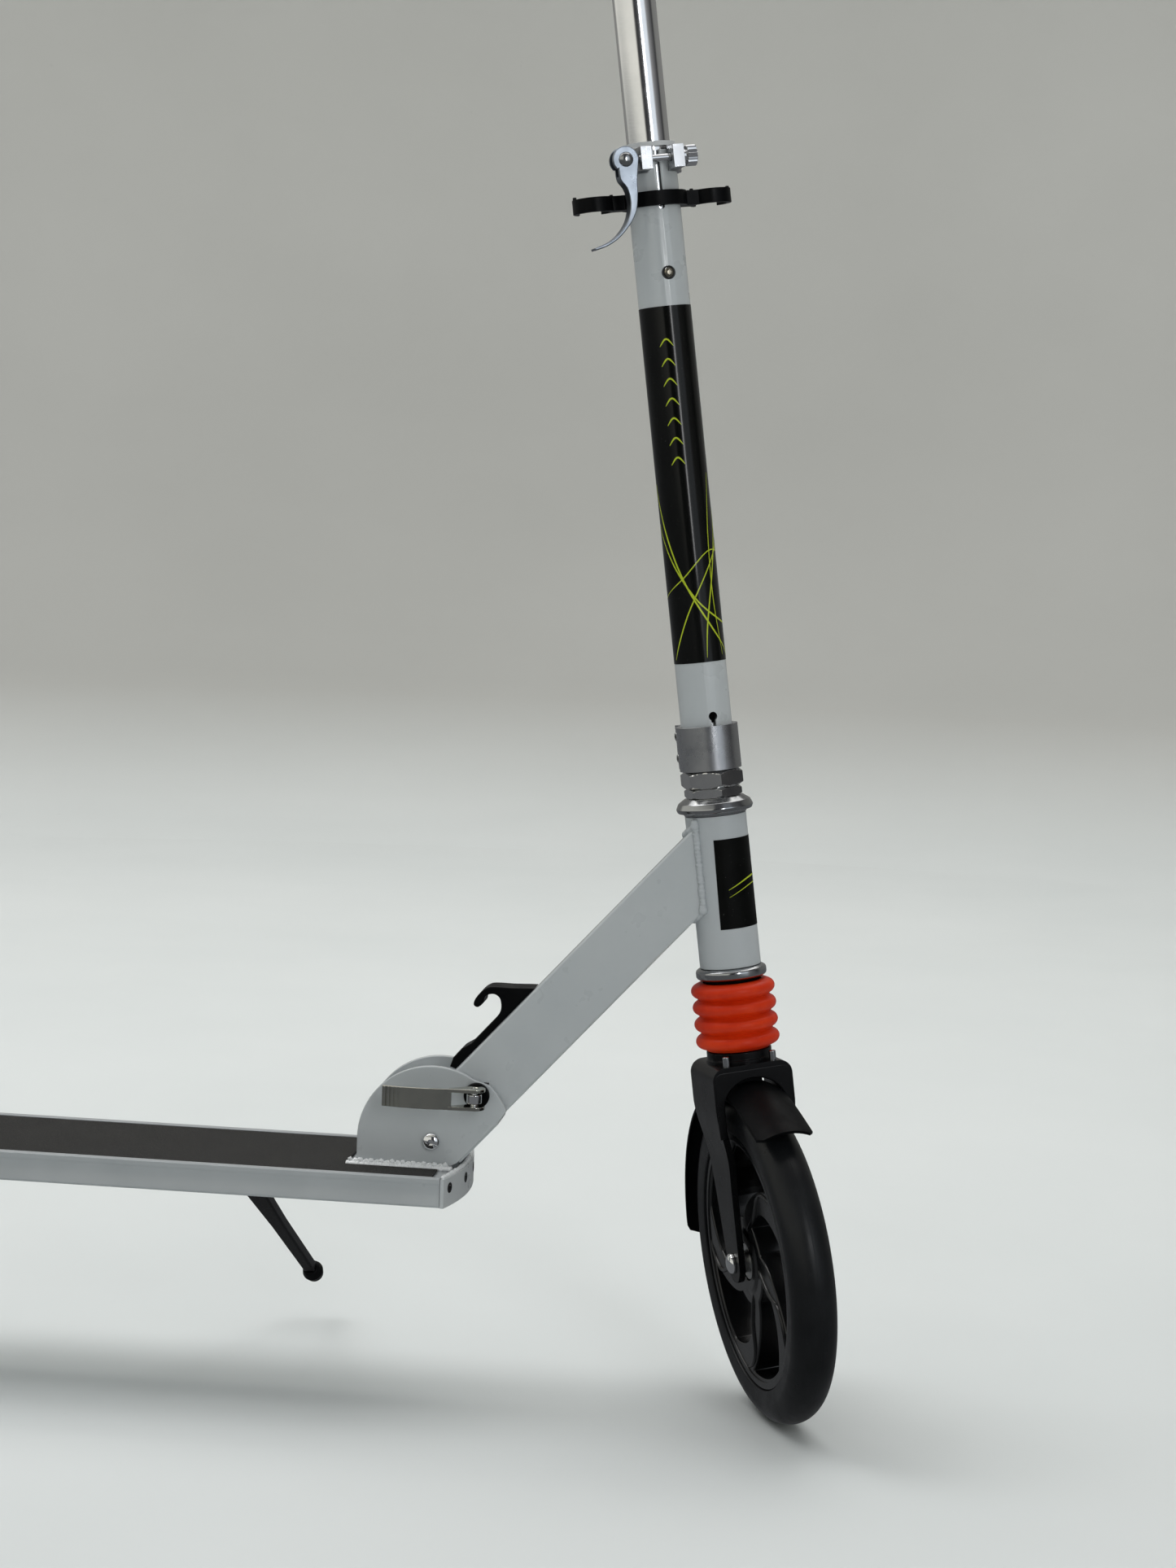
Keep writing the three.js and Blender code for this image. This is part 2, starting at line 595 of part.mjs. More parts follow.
function column() {
  const shell = tube(COLUMN_R, COLUMN_IN, COLUMN_LOW, COLUMN_HIGH, 28);
  const keyRound = alongX(rod(2.7, 5, 30, 16)).translate(0, 0, 330);
  const keySlot = box(5, 30, -1.3, 1.3, COLUMN_LOW - 5, 330);
  const slitEnd = alongX(rod(1.9, 5, 30, 14)).translate(0, 0, 631.4);
  const slit = box(5, 30, -1.25, 1.25, 631.4, COLUMN_HIGH + 5);
  const hole = alongX(rod(3.1, 5, 30, 18)).translate(0, 0, BUTTON_W);
  return cut(shell, keyRound, keySlot, slitEnd, slit, hole);
}
add('column_tube', column(), STEER, 'white');

function springButton() {
  const inner = COLUMN_IN + 0.05;
  return alongX(lathe([
    [0, inner], [2.8, inner], [2.8, 15.9], [2.2, 16.5], [1.2, 16.9], [0, 17],
  ], 18)).translate(0, 0, BUTTON_W);
}
add('height_button', springButton(), STEER, 'steel');

function stemClamp() {
  const ring = rod(18, CLAMP_LOW, CLAMP_HIGH, 28);
  const lugs = box(10, 27, -13.2, 13.2, CLAMP_LOW + 0.8, CLAMP_HIGH - 0.8);
  const bore = rod(COLUMN_R + GAP, CLAMP_LOW - 5, CLAMP_HIGH + 5, 28);
  const gap = box(4, 40, -6.4, 6.4, CLAMP_LOW - 5, CLAMP_HIGH + 5);
  const hole = alongY(rod(2.6, -30, 30, 14)).translate(CLAMP_BOLT_U, 0, CLAMP_BOLT_W);
  return cut(join(ring, lugs), bore, gap, hole);
}
add('stem_clamp', stemClamp(), STEER, 'alloy');

function stemBolt() {
  const shank = alongY(rod(2.2, STEM_PIVOT_V, 20.5, 14));
  const pin = alongX(lathe([
    [0, -6.6], [2, -6.3], [3.4, -5], [2.6, -5], [2.6, 5], [3.4, 5], [2, 6.3], [0, 6.6],
  ], 18)).translate(0, STEM_PIVOT_V, 0);
  return join(shank, pin).translate([CLAMP_BOLT_U, 0, CLAMP_BOLT_W]);
}
add('stem_bolt', stemBolt(), STEER, 'chrome');
add('stem_nut', alongY(lathe([
  [2.5, 13.5], [3.8, 13.5], [3.8, 15.6], [5.6, 15.6], [6.2, 16.3], [6.2, 21], [5.6, 21.6], [2.5, 21.6],
  [2.5, 13.5],
], 16)).translate(CLAMP_BOLT_U, 0, CLAMP_BOLT_W), STEER, 'chrome');
add('stem_shim', tube(15.6, UPPER_R + GAP + 0.1, CLAMP_HIGH + GAP, CLAMP_HIGH + 3, 24), STEER, 'white');

function stemLever() {
  const outline = [
    ...arc(0, 0, 7, 40, 200, 9), [-4, -11.5], [-1, -16.3], [0.3, -22.7], [-0.1, -29], [-2.9, -36],
    [-8.4, -42.4], [-14.7, -46.4], [-21.5, -48.4], [-21, -50.3], [-16.6, -49.2], [-9.6, -45.6],
    [-4.2, -40.8], [0.5, -35.3], [3.7, -29], [5.2, -21], [5.6, -12.3], [6.4, -3.4],
  ];
  const blade = slab(outline, -4.6, 4.6, [circle(0, 0, 2.9, 16)]);
  const slot = box(-12, 12, -9.5, 12, -2.6, 2.6);
  const lever = cut(blade, slot);
  const hinge = v3(CLAMP_BOLT_U, STEM_PIVOT_V, CLAMP_BOLT_W);
  return toGeometry(lever).applyMatrix4(basis(hinge, v3(0, 1, 0), v3(0, 0, 1), v3(1, 0, 0)));
}
add('stem_lever', stemLever(), STEER, 'chrome');

function clip() {
  const parts = [rod(19.6, CLIP_LOW, CLIP_HIGH, 24)];
  const cuts = [rod(COLUMN_R + GAP + 0.1, CLIP_LOW - 5, CLIP_HIGH + 5, 24)];
  for (const s of [-1, 1]) {
    parts.push(box(-8, 4, Math.min(s * 16, s * 28), Math.max(s * 16, s * 28), CLIP_LOW, CLIP_HIGH));
    parts.push(rod(12.5, CLIP_LOW, CLIP_HIGH, 20).translate(-4, s * 36, 0));
    cuts.push(rod(9.8, CLIP_LOW - 5, CLIP_HIGH + 5, 16).translate(-4, s * 36, 0));
    cuts.push(box(-30, -10, s * 36 - 7, s * 36 + 7, CLIP_LOW - 5, CLIP_HIGH + 5));
  }
  return cut(join(...parts), ...cuts);
}
add('handlebar_clip', clip(), STEER, 'black');

add('upper_tube', tube(UPPER_R, 11, UPPER_LOW, BAR_W - 14, 24), STEER, 'chrome');

function tee() {
  const stem = rod(15.6, BAR_W - 34, BAR_W, 24);
  const cross = alongY(rod(13.8, -44, 44, 24)).translate(0, 0, BAR_W);
  const bore = alongY(rod(BAR_R + GAP + 0.1, -60, 60, 20)).translate(0, 0, BAR_W);
  const socket = rod(UPPER_R + GAP + 0.1, BAR_W - 60, BAR_W - 13.7, 24);
  return cut(join(stem, cross), bore, socket);
}
add('handlebar_tee', tee(), STEER, 'black');
for (const [side, s] of [['right', -1], ['left', 1]]) {
  const ends = [s * 1.2, s * (GRIP_END - 6)].sort((a, b) => a - b);
  const at = new THREE.Matrix4().makeTranslation(0, 0, BAR_W).premultiply(STEER);
  add(`handlebar_${side}`, alongY(tube(BAR_R, 9, ends[0], ends[1], 20)), at, 'chrome');
  const sleeve = lathe([
    [0, GRIP_END - 5.6], [BAR_R + GAP, GRIP_END - 5.6], [BAR_R + GAP, GRIP_IN],
    [GRIP_R + 1.4, GRIP_IN], [GRIP_R + 1.4, GRIP_IN + 4], [GRIP_R, GRIP_IN + 6],
    [GRIP_R, GRIP_END - 3], [GRIP_R - 3, GRIP_END], [0, GRIP_END],
  ], 20);
  if (s < 0) sleeve.rotateX(Math.PI);
  add(`grip_${side}`, alongY(sleeve), at, 'foam');
}

// ---- fork and front wheel ----------------------------------------------------------------------------
function fork() {
  const side = [
    [-23, CROWN_TOP], [23, CROWN_TOP], [23, 95], [21.5, 50],
    ...arc(OFFSET, 0, 12, 10, -190, 14),
    [-11, 42], [-20, 74], [-23, 95],
  ];
  const span = wall(side, -30, 30);
  const low = 16;
  const parts = [];
  for (const s of [-1, 1]) {
    const path = [
      [s * low, -20], [s * (low + LEG_T), -20], [s * (low + LEG_T), 62], [s * FORK_HALF, 92],
      [s * FORK_HALF, CROWN_TOP - 3], [s * (FORK_HALF - 3), CROWN_TOP], [s * (FORK_HALF - LEG_T), CROWN_TOP],
      [s * (FORK_HALF - LEG_T), 92], [s * low, 62],
    ];
    const leg = slab(path, -40, 40).applyMatrix4(basis(v3(0, 0, 0), v3(0, 1, 0), v3(0, 0, 1), v3(1, 0, 0)));
    parts.push(common(leg, span));
  }
  const crown = box(-23, 23, -FORK_HALF + 3, FORK_HALF - 3, CROWN_LOW, CROWN_TOP);
  const front = box(19.5, 23, -FORK_HALF + 1, FORK_HALF - 1, 80, CROWN_LOW + 2);
  const arch = box(15, 30, -18.6, 18.6, 60, 112.6);
  const boss = rod(17, CROWN_TOP - 2, CROWN_TOP + 3, 24);
  const stanchion = rod(STANCHION_R, CROWN_TOP - 2, 250, 20);
  const pins = [-1, 1].map((s) => rod(2.6, CROWN_TOP - 2, CROWN_TOP + 6, 10).translate(19.4, s * 14.6, 0));
  const axle = alongY(rod(AXLE_R + GAP, -40, 40, 20)).translate(OFFSET, 0, 0);
  return cut(join(crown, ...parts, cut(front, arch), boss, stanchion, ...pins), axle);
}
add('fork', fork(), STEER, 'black');

function mudguard() {
  const outer = GUARD_IN + GUARD_T;
  const skin = [
    ...arc(0, 0, outer, GUARD_LIP, GUARD_REAR, 20), ...arc(0, 0, GUARD_IN, GUARD_REAR, GUARD_LIP, 20),
  ];
  const flared = (r, from, to) => [0, 1, 2, 3].map((k) => {
    const angle = from + ((to - from) * k) / 3;
    const share = (GUARD_LIP - angle) / (GUARD_LIP - GUARD_TIP);
    const reach = r + GUARD_FLARE * share ** 2;
    return [reach * Math.cos(rad(angle)), reach * Math.sin(rad(angle))];
  });
  const overlap = GUARD_LIP + 2;
  const lip = [
    ...arc(0, 0, GUARD_IN, GUARD_LIP, overlap, 1), ...arc(0, 0, outer, overlap, GUARD_LIP, 1),
    ...flared(outer, GUARD_LIP - 0.1, GUARD_TIP), ...flared(GUARD_IN, GUARD_TIP, GUARD_LIP - 0.1),
  ];
  const boss = box(-14, 6, -8, 8, GUARD_IN - 1.1, CROWN_LOW - GAP);
  const inside = alongY(rod(GUARD_IN, -30, 30, 60));
  return cut(join(wall(skin, -GUARD_HALF, GUARD_HALF), wall(lip, -GUARD_HALF, GUARD_HALF), boss), inside);
}
const frontAt = new THREE.Matrix4().makeTranslation(OFFSET, 0, 0).premultiply(STEER);
add('mudguard', mudguard(), frontAt, 'black');
add('front_axle_bolt', domedBolt(AXLE_R, 6.2, -20.3, 4, 27.5), frontAt, 'chrome');
add('front_axle_nut', hexNut(13, AXLE_R + GAP, 20.3, 26), frontAt, 'steel');
add('front_hub', hub(), frontAt, 'black');
add('front_tyre', tyre(), frontAt, 'tyre');
add('front_bearings', bearings(15.6), frontAt, 'steel');

add('suspension_spring', coil(14.4, 1.5, 4, CROWN_TOP + 3.3, STEERER_LOW - GAP, 12), STEER, 'steel');

// Rubber bellows: four lobes over the spring, open inside.
function bellows() {
  const lobes = [133.9, 144.2, 154.5, 164.6];
  const outside = [[19.6, 124.4], [20.6, 128.4]];
  for (const w of lobes) {
    for (const a of [-50, 0, 50]) {
      outside.push([20.9 + 4.4 * Math.cos(rad(a)), w + 4.2 * Math.sin(rad(a))]);
    }
    if (w < 160) outside.push([20.9, w + 5.15]);
  }
  outside.push([19.4, 169.4]);
  const inside = [[17.8, 169.4], [17.8, 124.4]];
  return lathe([...outside, ...inside, outside[0]], 24);
}
add('bellows', bellows(), STEER, 'orange');

export default group;
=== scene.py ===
import bpy
import bmesh
import json
import math
import random
from mathutils import Matrix, Vector


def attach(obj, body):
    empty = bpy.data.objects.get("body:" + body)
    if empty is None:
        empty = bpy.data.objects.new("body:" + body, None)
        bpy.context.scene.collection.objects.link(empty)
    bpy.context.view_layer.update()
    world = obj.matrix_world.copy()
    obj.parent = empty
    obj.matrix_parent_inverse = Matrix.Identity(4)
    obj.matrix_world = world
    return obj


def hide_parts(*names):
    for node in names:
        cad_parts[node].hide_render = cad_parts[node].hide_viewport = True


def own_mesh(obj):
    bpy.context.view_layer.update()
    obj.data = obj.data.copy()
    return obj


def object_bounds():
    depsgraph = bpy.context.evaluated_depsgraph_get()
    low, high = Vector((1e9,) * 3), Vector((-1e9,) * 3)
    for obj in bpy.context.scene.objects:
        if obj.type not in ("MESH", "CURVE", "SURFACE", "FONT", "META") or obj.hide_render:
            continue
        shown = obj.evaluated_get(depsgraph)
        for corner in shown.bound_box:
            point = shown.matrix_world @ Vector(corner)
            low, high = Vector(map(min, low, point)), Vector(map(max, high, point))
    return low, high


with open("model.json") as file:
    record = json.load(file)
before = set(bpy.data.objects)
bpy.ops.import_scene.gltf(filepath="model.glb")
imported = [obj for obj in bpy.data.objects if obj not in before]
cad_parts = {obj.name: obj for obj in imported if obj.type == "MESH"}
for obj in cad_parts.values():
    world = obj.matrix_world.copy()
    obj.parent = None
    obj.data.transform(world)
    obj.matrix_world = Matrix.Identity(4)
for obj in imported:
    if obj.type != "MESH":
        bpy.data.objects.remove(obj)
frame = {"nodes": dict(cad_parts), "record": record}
cad_low, cad_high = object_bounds()

# Local shapes are in millimetres and are placed in metres.
MM = 0.001
JOINTS = {j["name"]: j for j in frame["record"]["behaviour"]["joints"]}
SLOT = {s["node"]: s["material_slot"] for s in frame["record"]["subparts"]}
BODY = {n: b for b, nodes in frame["record"]["behaviour"]["bodies"].items() for n in nodes}
X, Y, Z = Vector((1, 0, 0)), Vector((0, 1, 0)), Vector((0, 0, 1))


def joint_at(name):
    return Vector(JOINTS[name]["pos_m"])


def joint_axis(name):
    return Vector(JOINTS[name]["axis"]).normalized()


def frame_of(origin, x, y, z):
    """A placement with these axes, for a shape in millimetres."""
    axes = Matrix([Vector(v) * MM for v in (x, y, z)]).transposed()
    return Matrix.Translation(origin) @ axes.to_4x4()


# Radii of the round tubes, half the width and depth of the beam, and the faces of the fold plates.
HEAD_R, COLUMN_R = 18.4, 15.4
BEAM_HALF_Y, BEAM_HALF_Z = 15, 19.7
PLATE_IN, PLATE_OUT = 15.5, 19.5
# A label's film, the print on it, and how far above the tube the print starts.
FILM, PRINT, PRINT_AT = 0.16, 0.1, 0.14
# The stem lever's pivot and the height of the button, up the column.
LEVER_AT = (20.5, -22, 658.5)
BUTTON_HEIGHT = 592.4

UP = joint_axis("height_slide")
LEFT = joint_axis("left_handle_slide")
FORWARD = LEFT.cross(UP)
STRAIGHT = Vector((UP.z, 0, -UP.x))
BEAM_DIR = joint_axis("finger_pull_slide")
BEAM_UP = Vector((-BEAM_DIR.z, 0, BEAM_DIR.x))
KICK_AXIS = joint_axis("kickstand_hinge")
# From the kickstand's hinge to the middle of its foot.
KICK_REACH = Vector((20, 104, -81))
KICK_DIR = KICK_REACH.normalized()
lock = joint_at("fold_lever_hinge")
FLOOR_LEVEL = cad_low.z

# Placements of the shapes below, on the joints. PART is the CAD part's own frame.
PART = frame_of((0.386, 0, -0.1446), X, Y, Z)
HEAD = frame_of(joint_at("steering_hinge"), STRAIGHT, Y, UP)
STEER = frame_of(joint_at("steering_hinge"), FORWARD, LEFT, UP)
FRONT = frame_of(joint_at("front_wheel_spin"), FORWARD, LEFT, UP)
REAR = frame_of(joint_at("rear_wheel_spin"), X, Y, Z)
BEAM = frame_of(joint_at("fold_hinge"), BEAM_DIR, Y, BEAM_UP)
PIVOT = frame_of(joint_at("fold_hinge"), X, Y, Z)
LOCK = frame_of((lock.x, 0, lock.z), X, Y, Z)
KICK = frame_of(joint_at("kickstand_hinge"), KICK_DIR, KICK_AXIS.cross(KICK_DIR), KICK_AXIS)


# ---- mesh helpers --------------------------------------------------------------------------------
def mesh_of(verts, faces):
    me = bpy.data.meshes.new("shape")
    me.from_pydata([tuple(v) for v in verts], [], faces)
    return me


def baked(me, *modifiers):
    """The mesh after a list of (type, {settings})."""
    ob = bpy.data.objects.new("work", me)
    bpy.context.scene.collection.objects.link(ob)
    for kind, settings in modifiers:
        m = ob.modifiers.new(kind.lower(), kind)
        for key, value in settings.items():
            setattr(m, key, value)
    dg = bpy.context.evaluated_depsgraph_get()
    out = bpy.data.meshes.new_from_object(ob.evaluated_get(dg))
    bpy.data.objects.remove(ob)
    return out


def merged(*meshes):
    bm = bmesh.new()
    for me in meshes:
        bm.from_mesh(me)
    out = bpy.data.meshes.new("shape")
    bm.to_mesh(out)
    bm.free()
    return out


def cleaned(me, weld=0.002):
    bm = bmesh.new()
    bm.from_mesh(me)
    bmesh.ops.remove_doubles(bm, verts=bm.verts, dist=weld)
    bmesh.ops.recalc_face_normals(bm, faces=bm.faces)
    bm.to_mesh(me)
    bm.free()
    return me


def moved(me, matrix):
    me = me.copy()
    me.transform(matrix)
    return me


def shift(me, x=0, y=0, z=0):
    return moved(me, Matrix.Translation((x, y, z)))


ALONG_Y = Matrix(((1, 0, 0, 0), (0, 0, 1, 0), (0, -1, 0, 0), (0, 0, 0, 1)))
ALONG_X = Matrix(((0, 0, 1, 0), (0, 1, 0, 0), (-1, 0, 0, 0), (0, 0, 0, 1)))
UPRIGHT = Matrix(((1, 0, 0, 0), (0, 0, 1, 0), (0, 1, 0, 0), (0, 0, 0, 1)))
SIDEWAYS = Matrix(((0, 0, 1, 0), (1, 0, 0, 0), (0, 1, 0, 0), (0, 0, 0, 1)))


def arc(cx, cy, r, start, stop, steps):
    out = []
    for i in range(steps + 1):
        a = math.radians(start + (stop - start) * i / steps)
        out.append((cx + r * math.cos(a), cy + r * math.sin(a)))
    return out


def circle(cx, cy, r, steps=32):
    return arc(cx, cy, r, 0, 360 - 360 / steps, steps - 1)


def rounded(points, radius, steps=4, closed=True):
    """The same outline with its corners rounded."""
    out, n = [], len(points)
    for i, p in enumerate(points):
        if not closed and i in (0, n - 1):
            out.append(tuple(p))
            continue
        p = Vector(p).to_2d()
        a, b = Vector(points[i - 1]).to_2d(), Vector(points[(i + 1) % n]).to_2d()
        da, db = (a - p), (b - p)
        if da.length < 1e-6 or db.length < 1e-6:
            continue
        turn = math.pi - da.angle(db)
        if turn < 0.12:
            out.append(tuple(p))
            continue
        reach = min(radius * math.tan(turn / 2), da.length * 0.48, db.length * 0.48)
        p0, p1 = p + da.normalized() * reach, p + db.normalized() * reach
        for k in range(steps + 1):
            t = k / steps
            q = p0 * (1 - t) ** 2 + p * 2 * t * (1 - t) + p1 * t ** 2
            out.append(tuple(q))
    return out


def lathe(profile, n=72):
    """Turns a closed or axis-to-axis outline of (radius, height) round Z."""
    closed = Vector(profile[0]).to_2d() == Vector(profile[-1]).to_2d()
    points = profile[:-1] if closed else profile
    verts, rings = [], []
    for r, z in points:
        if r < 1e-6:
            rings.append([len(verts)] * n)
            verts.append((0, 0, z))
            continue
        rings.append(list(range(len(verts), len(verts) + n)))
        for k in range(n):
            a = 2 * math.pi * k / n
            verts.append((r * math.cos(a), r * math.sin(a), z))
    faces = []
    for a, b in zip(rings, rings[1:] + ([rings[0]] if closed else [])):
        for k in range(n):
            q = [a[k], a[(k + 1) % n], b[(k + 1) % n], b[k]]
            q = [v for i, v in enumerate(q) if v not in q[:i]]
            if len(q) > 2:
                faces.append(q)
    return cleaned(mesh_of(verts, faces))


def spun(points, soft, steps, n):
    """An outline from axis to axis, its corners softened, turned round Z."""
    return lathe(rounded(points, soft, steps, False), n)


def hoop(points, soft, steps, n):
    """A closed outline, its corners softened, turned round Z."""
    loop = rounded(points, soft, steps)
    return lathe([*loop, loop[0]], n)


def plate(outline, z0, z1, holes=(), edge=0.5, steps=2):
    """A flat outline made thick from z0 to z1, with rounded rims."""
    cu = bpy.data.curves.new("plate", "CURVE")
    cu.dimensions = "2D"
    cu.fill_mode = "BOTH"
    for points in (outline, *holes):
        s = cu.splines.new("POLY")
        s.points.add(len(points) - 1)
        for p, (x, y) in zip(s.points, points):
            p.co = (x, y, 0, 1)
        s.use_cyclic_u = True
    cu.extrude = (z1 - z0) / 2 - edge
    cu.bevel_depth = edge
    cu.bevel_resolution = steps
    cu.offset = -edge
    ob = bpy.data.objects.new("work", cu)
    bpy.context.scene.collection.objects.link(ob)
    dg = bpy.context.evaluated_depsgraph_get()
    me = bpy.data.meshes.new_from_object(ob.evaluated_get(dg))
    bpy.data.objects.remove(ob)
    bpy.data.curves.remove(cu)
    me.transform(Matrix.Translation((0, 0, (z0 + z1) / 2)))
    return cleaned(me)


def wall(outline, y0, y1, holes=(), edge=0.5, steps=2):
    return moved(plate(outline, y0, y1, holes, edge, steps), UPRIGHT)


def bevelled(me, width, segments, angle=None):
    """The mesh with its edges eased: all of them, or those sharper than an angle in degrees."""
    settings = {"width": width, "segments": segments, "limit_method": "NONE"}
    if angle:
        settings |= {"limit_method": "ANGLE", "angle_limit": math.radians(angle)}
    return baked(me, ("BEVEL", settings))


def block(x0, x1, y0, y1, z0, z1, edge=0.5, segments=3):
    corners = [(x, y, z) for x in (x0, x1) for y in (y0, y1) for z in (z0, z1)]
    faces = [(0, 1, 3, 2), (4, 6, 7, 5), (0, 4, 5, 1), (2, 3, 7, 6), (0, 2, 6, 4), (1, 5, 7, 3)]
    me = cleaned(mesh_of(corners, faces))
    return bevelled(me, edge, segments)


def carved(me, *cutters):
    """The mesh with other meshes cut out of it."""
    tools = []
    for c in cutters:
        ob = bpy.data.objects.new("tool", c)
        bpy.context.scene.collection.objects.link(ob)
        tools.append(ob)
    steps = [("BOOLEAN", {"operation": "DIFFERENCE", "solver": "EXACT", "object": t}) for t in tools]
    out = baked(me, *steps)
    for t in tools:
        bpy.data.objects.remove(t)
    return out


def shell(rows, thickness):
    """A sheet from rows of (point, normal): the outer face, the inner face and the rims."""
    verts, faces = [], []
    n = len(rows[0])
    for side in (0, 1):
        for row in rows:
            verts.extend(p - nrm * thickness * side for p, nrm in row)
    count = len(rows) * n

    def at(i, j, side):
        return side * count + i * n + j

    for i in range(len(rows) - 1):
        for j in range(n - 1):
            faces.append((at(i, j, 0), at(i, j + 1, 0), at(i + 1, j + 1, 0), at(i + 1, j, 0)))
            faces.append((at(i, j, 1), at(i + 1, j, 1), at(i + 1, j + 1, 1), at(i, j + 1, 1)))
        for j in (0, n - 1):
            faces.append((at(i, j, 0), at(i + 1, j, 0), at(i + 1, j, 1), at(i, j, 1)))
    for i in (0, len(rows) - 1):
        for j in range(n - 1):
            faces.append((at(i, j, 0), at(i, j + 1, 0), at(i, j + 1, 1), at(i, j, 1)))
    return cleaned(mesh_of(verts, faces))


def sweep(path, radius, n=14, ripple=0.0, pitch=2.0, rough=0.0, seed=1, flat=1.0, normal=None):
    """A round bead along a path, with weld ripples."""
    rng = random.Random(seed)
    path = [Vector(p) for p in path]
    verts, faces, run = [], [], 0.0
    for i, p in enumerate(path):
        before, after = path[max(i - 1, 0)], path[min(i + 1, len(path) - 1)]
        along = (after - before).normalized()
        if i:
            run += (p - path[i - 1]).length
        side = along.cross(normal or Z)
        side = side.normalized() if side.length > 1e-4 else along.orthogonal().normalized()
        top = side.cross(along)
        end = min(i, len(path) - 1 - i)
        taper = 0.25 if end == 0 else (0.8 if end == 1 else 1.0)
        wave = 1 + ripple * math.sin(2 * math.pi * run / pitch) + rough * (rng.random() - 0.5)
        for k in range(n):
            a = 2 * math.pi * k / n
            jitter = 1 + rough * 0.4 * (rng.random() - 0.5)
            r = radius * taper * wave * jitter
            verts.append(p + side * r * math.cos(a) + top * r * flat * math.sin(a))
    for i in range(len(path) - 1):
        for k in range(n):
            j = (k + 1) % n
            faces.append((i * n + k, i * n + j, (i + 1) * n + j, (i + 1) * n + k))
    faces.append(tuple(range(n)))
    faces.append(tuple(range((len(path) - 1) * n, len(path) * n)))
    return cleaned(mesh_of(verts, faces))


def line(a, b, steps):
    a, b = Vector(a), Vector(b)
    return [a.lerp(b, i / steps) for i in range(steps + 1)]


def smooth_line(points, per=6):
    """A smooth curve through points."""
    out, last = [], len(points) - 1
    for i in range(last):
        p = [Vector(points[min(max(i + k, 0), last)]) for k in (-1, 0, 1, 2)]
        for k in range(per):
            t = k / per
            q = 0.5 * (2 * p[1] + (p[2] - p[0]) * t + (2 * p[0] - 5 * p[1] + 4 * p[2] - p[3]) * t ** 2
                       + (3 * p[1] - p[0] - 3 * p[2] + p[3]) * t ** 3)
            out.append(tuple(q))
    return [*out, tuple(points[-1])]


MATERIALS = {}


def piece(name, shape, place, look, body, stands_for=(), smooth=38, flat_normals=True):
    """A finished piece: placed, shaded, painted and riding on its body."""
    me = moved(shape, place)
    cleaned(me, 2e-6)
    me.name = name
    for p in me.polygons:
        p.use_smooth = True
    me.set_sharp_from_angle(angle=math.radians(smooth))
    me.materials.clear()
    me.materials.append(MATERIALS[look])
    ob = bpy.data.objects.new(name, me)
    bpy.context.scene.collection.objects.link(ob)
    if flat_normals:
        m = ob.modifiers.new("normals", "WEIGHTED_NORMAL")
        m.keep_sharp = True
        m.weight = 60
    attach(ob, body)
    if stands_for:
        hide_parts(*stands_for)
    return ob


def swap(node, shape, place, look=None, smooth=38, flat_normals=True):
    """A detailed piece in the place of a CAD node."""
    return piece(node + "_fine", shape, place, look or SLOT[node], BODY[node], (node,), smooth,
                 flat_normals)


def refined(node, edge=0.0, segments=2, angle=40, look=None, along=None):
    """The CAD node's own shape with its edges eased: all of them, or those along one direction."""
    bm = bmesh.new()
    bm.from_mesh(frame["nodes"][node].data)
    bmesh.ops.remove_doubles(bm, verts=bm.verts, dist=1e-6)
    if edge:
        bmesh.ops.dissolve_limit(bm, angle_limit=math.radians(1.0), verts=bm.verts, edges=bm.edges)
    if along is not None:
        ridges = [e for e in bm.edges if e.calc_length() > 0.02 and len(e.link_faces) == 2
                  and abs((e.verts[1].co - e.verts[0].co).normalized().dot(along)) > 0.999
                  and math.degrees(e.calc_face_angle(0.0)) > 60]
        bmesh.ops.bevel(bm, geom=ridges, offset=edge * MM, segments=segments, profile=0.5, affect="EDGES")
    out = bpy.data.meshes.new(node + "_fine")
    bm.to_mesh(out)
    bm.free()
    if edge and along is None:
        out = bevelled(out, edge * MM, segments, angle)
    return swap(node, out, Matrix.Identity(4), look)


# ---- materials -----------------------------------------------------------------------------------
class Tree:
    """A short way to write a node tree."""

    def __init__(self, tree):
        self.tree = tree

    def link(self, a, b):
        self.tree.links.new(a, b)

    def put(self, value, socket):
        """A link, a colour or a number on a socket."""
        if isinstance(value, bpy.types.NodeSocket):
            self.link(value, socket)
        elif hasattr(value, "__len__"):
            socket.default_value = (*value, 1)
        else:
            socket.default_value = value

    def node(self, kind, **inputs):
        n = self.tree.nodes.new("ShaderNode" + kind)
        for key, value in inputs.items():
            n.inputs[key.replace("_", " ")].default_value = value
        return n

    def ramp(self, fac, stops):
        n = self.node("ValToRGB")
        el = n.color_ramp.elements
        while len(el) < len(stops):
            el.new(0.5)
        for e, (pos, colour) in zip(el, stops):
            e.position = pos
            e.color = (*colour, 1) if hasattr(colour, "__len__") else (colour, colour, colour, 1)
        self.link(fac, n.inputs[0])
        return n.outputs[0]

    def span(self, fac, low, high, start=0.3, stop=0.7):
        n = self.node("MapRange", From_Min=start, From_Max=stop, To_Min=low, To_Max=high)
        self.link(fac, n.inputs[0])
        return n.outputs[0]

    def mix(self, fac, a, b, mode="MIX"):
        n = self.node("Mix")
        n.data_type = "RGBA"
        n.blend_type = mode
        for socket, value in ((n.inputs[0], fac), (n.inputs[6], a), (n.inputs[7], b)):
            self.put(value, socket)
        return n.outputs[2]

    def math(self, op, a, b):
        n = self.node("Math")
        n.operation = op
        self.put(a, n.inputs[0])
        self.put(b, n.inputs[1])
        return n.outputs[0]


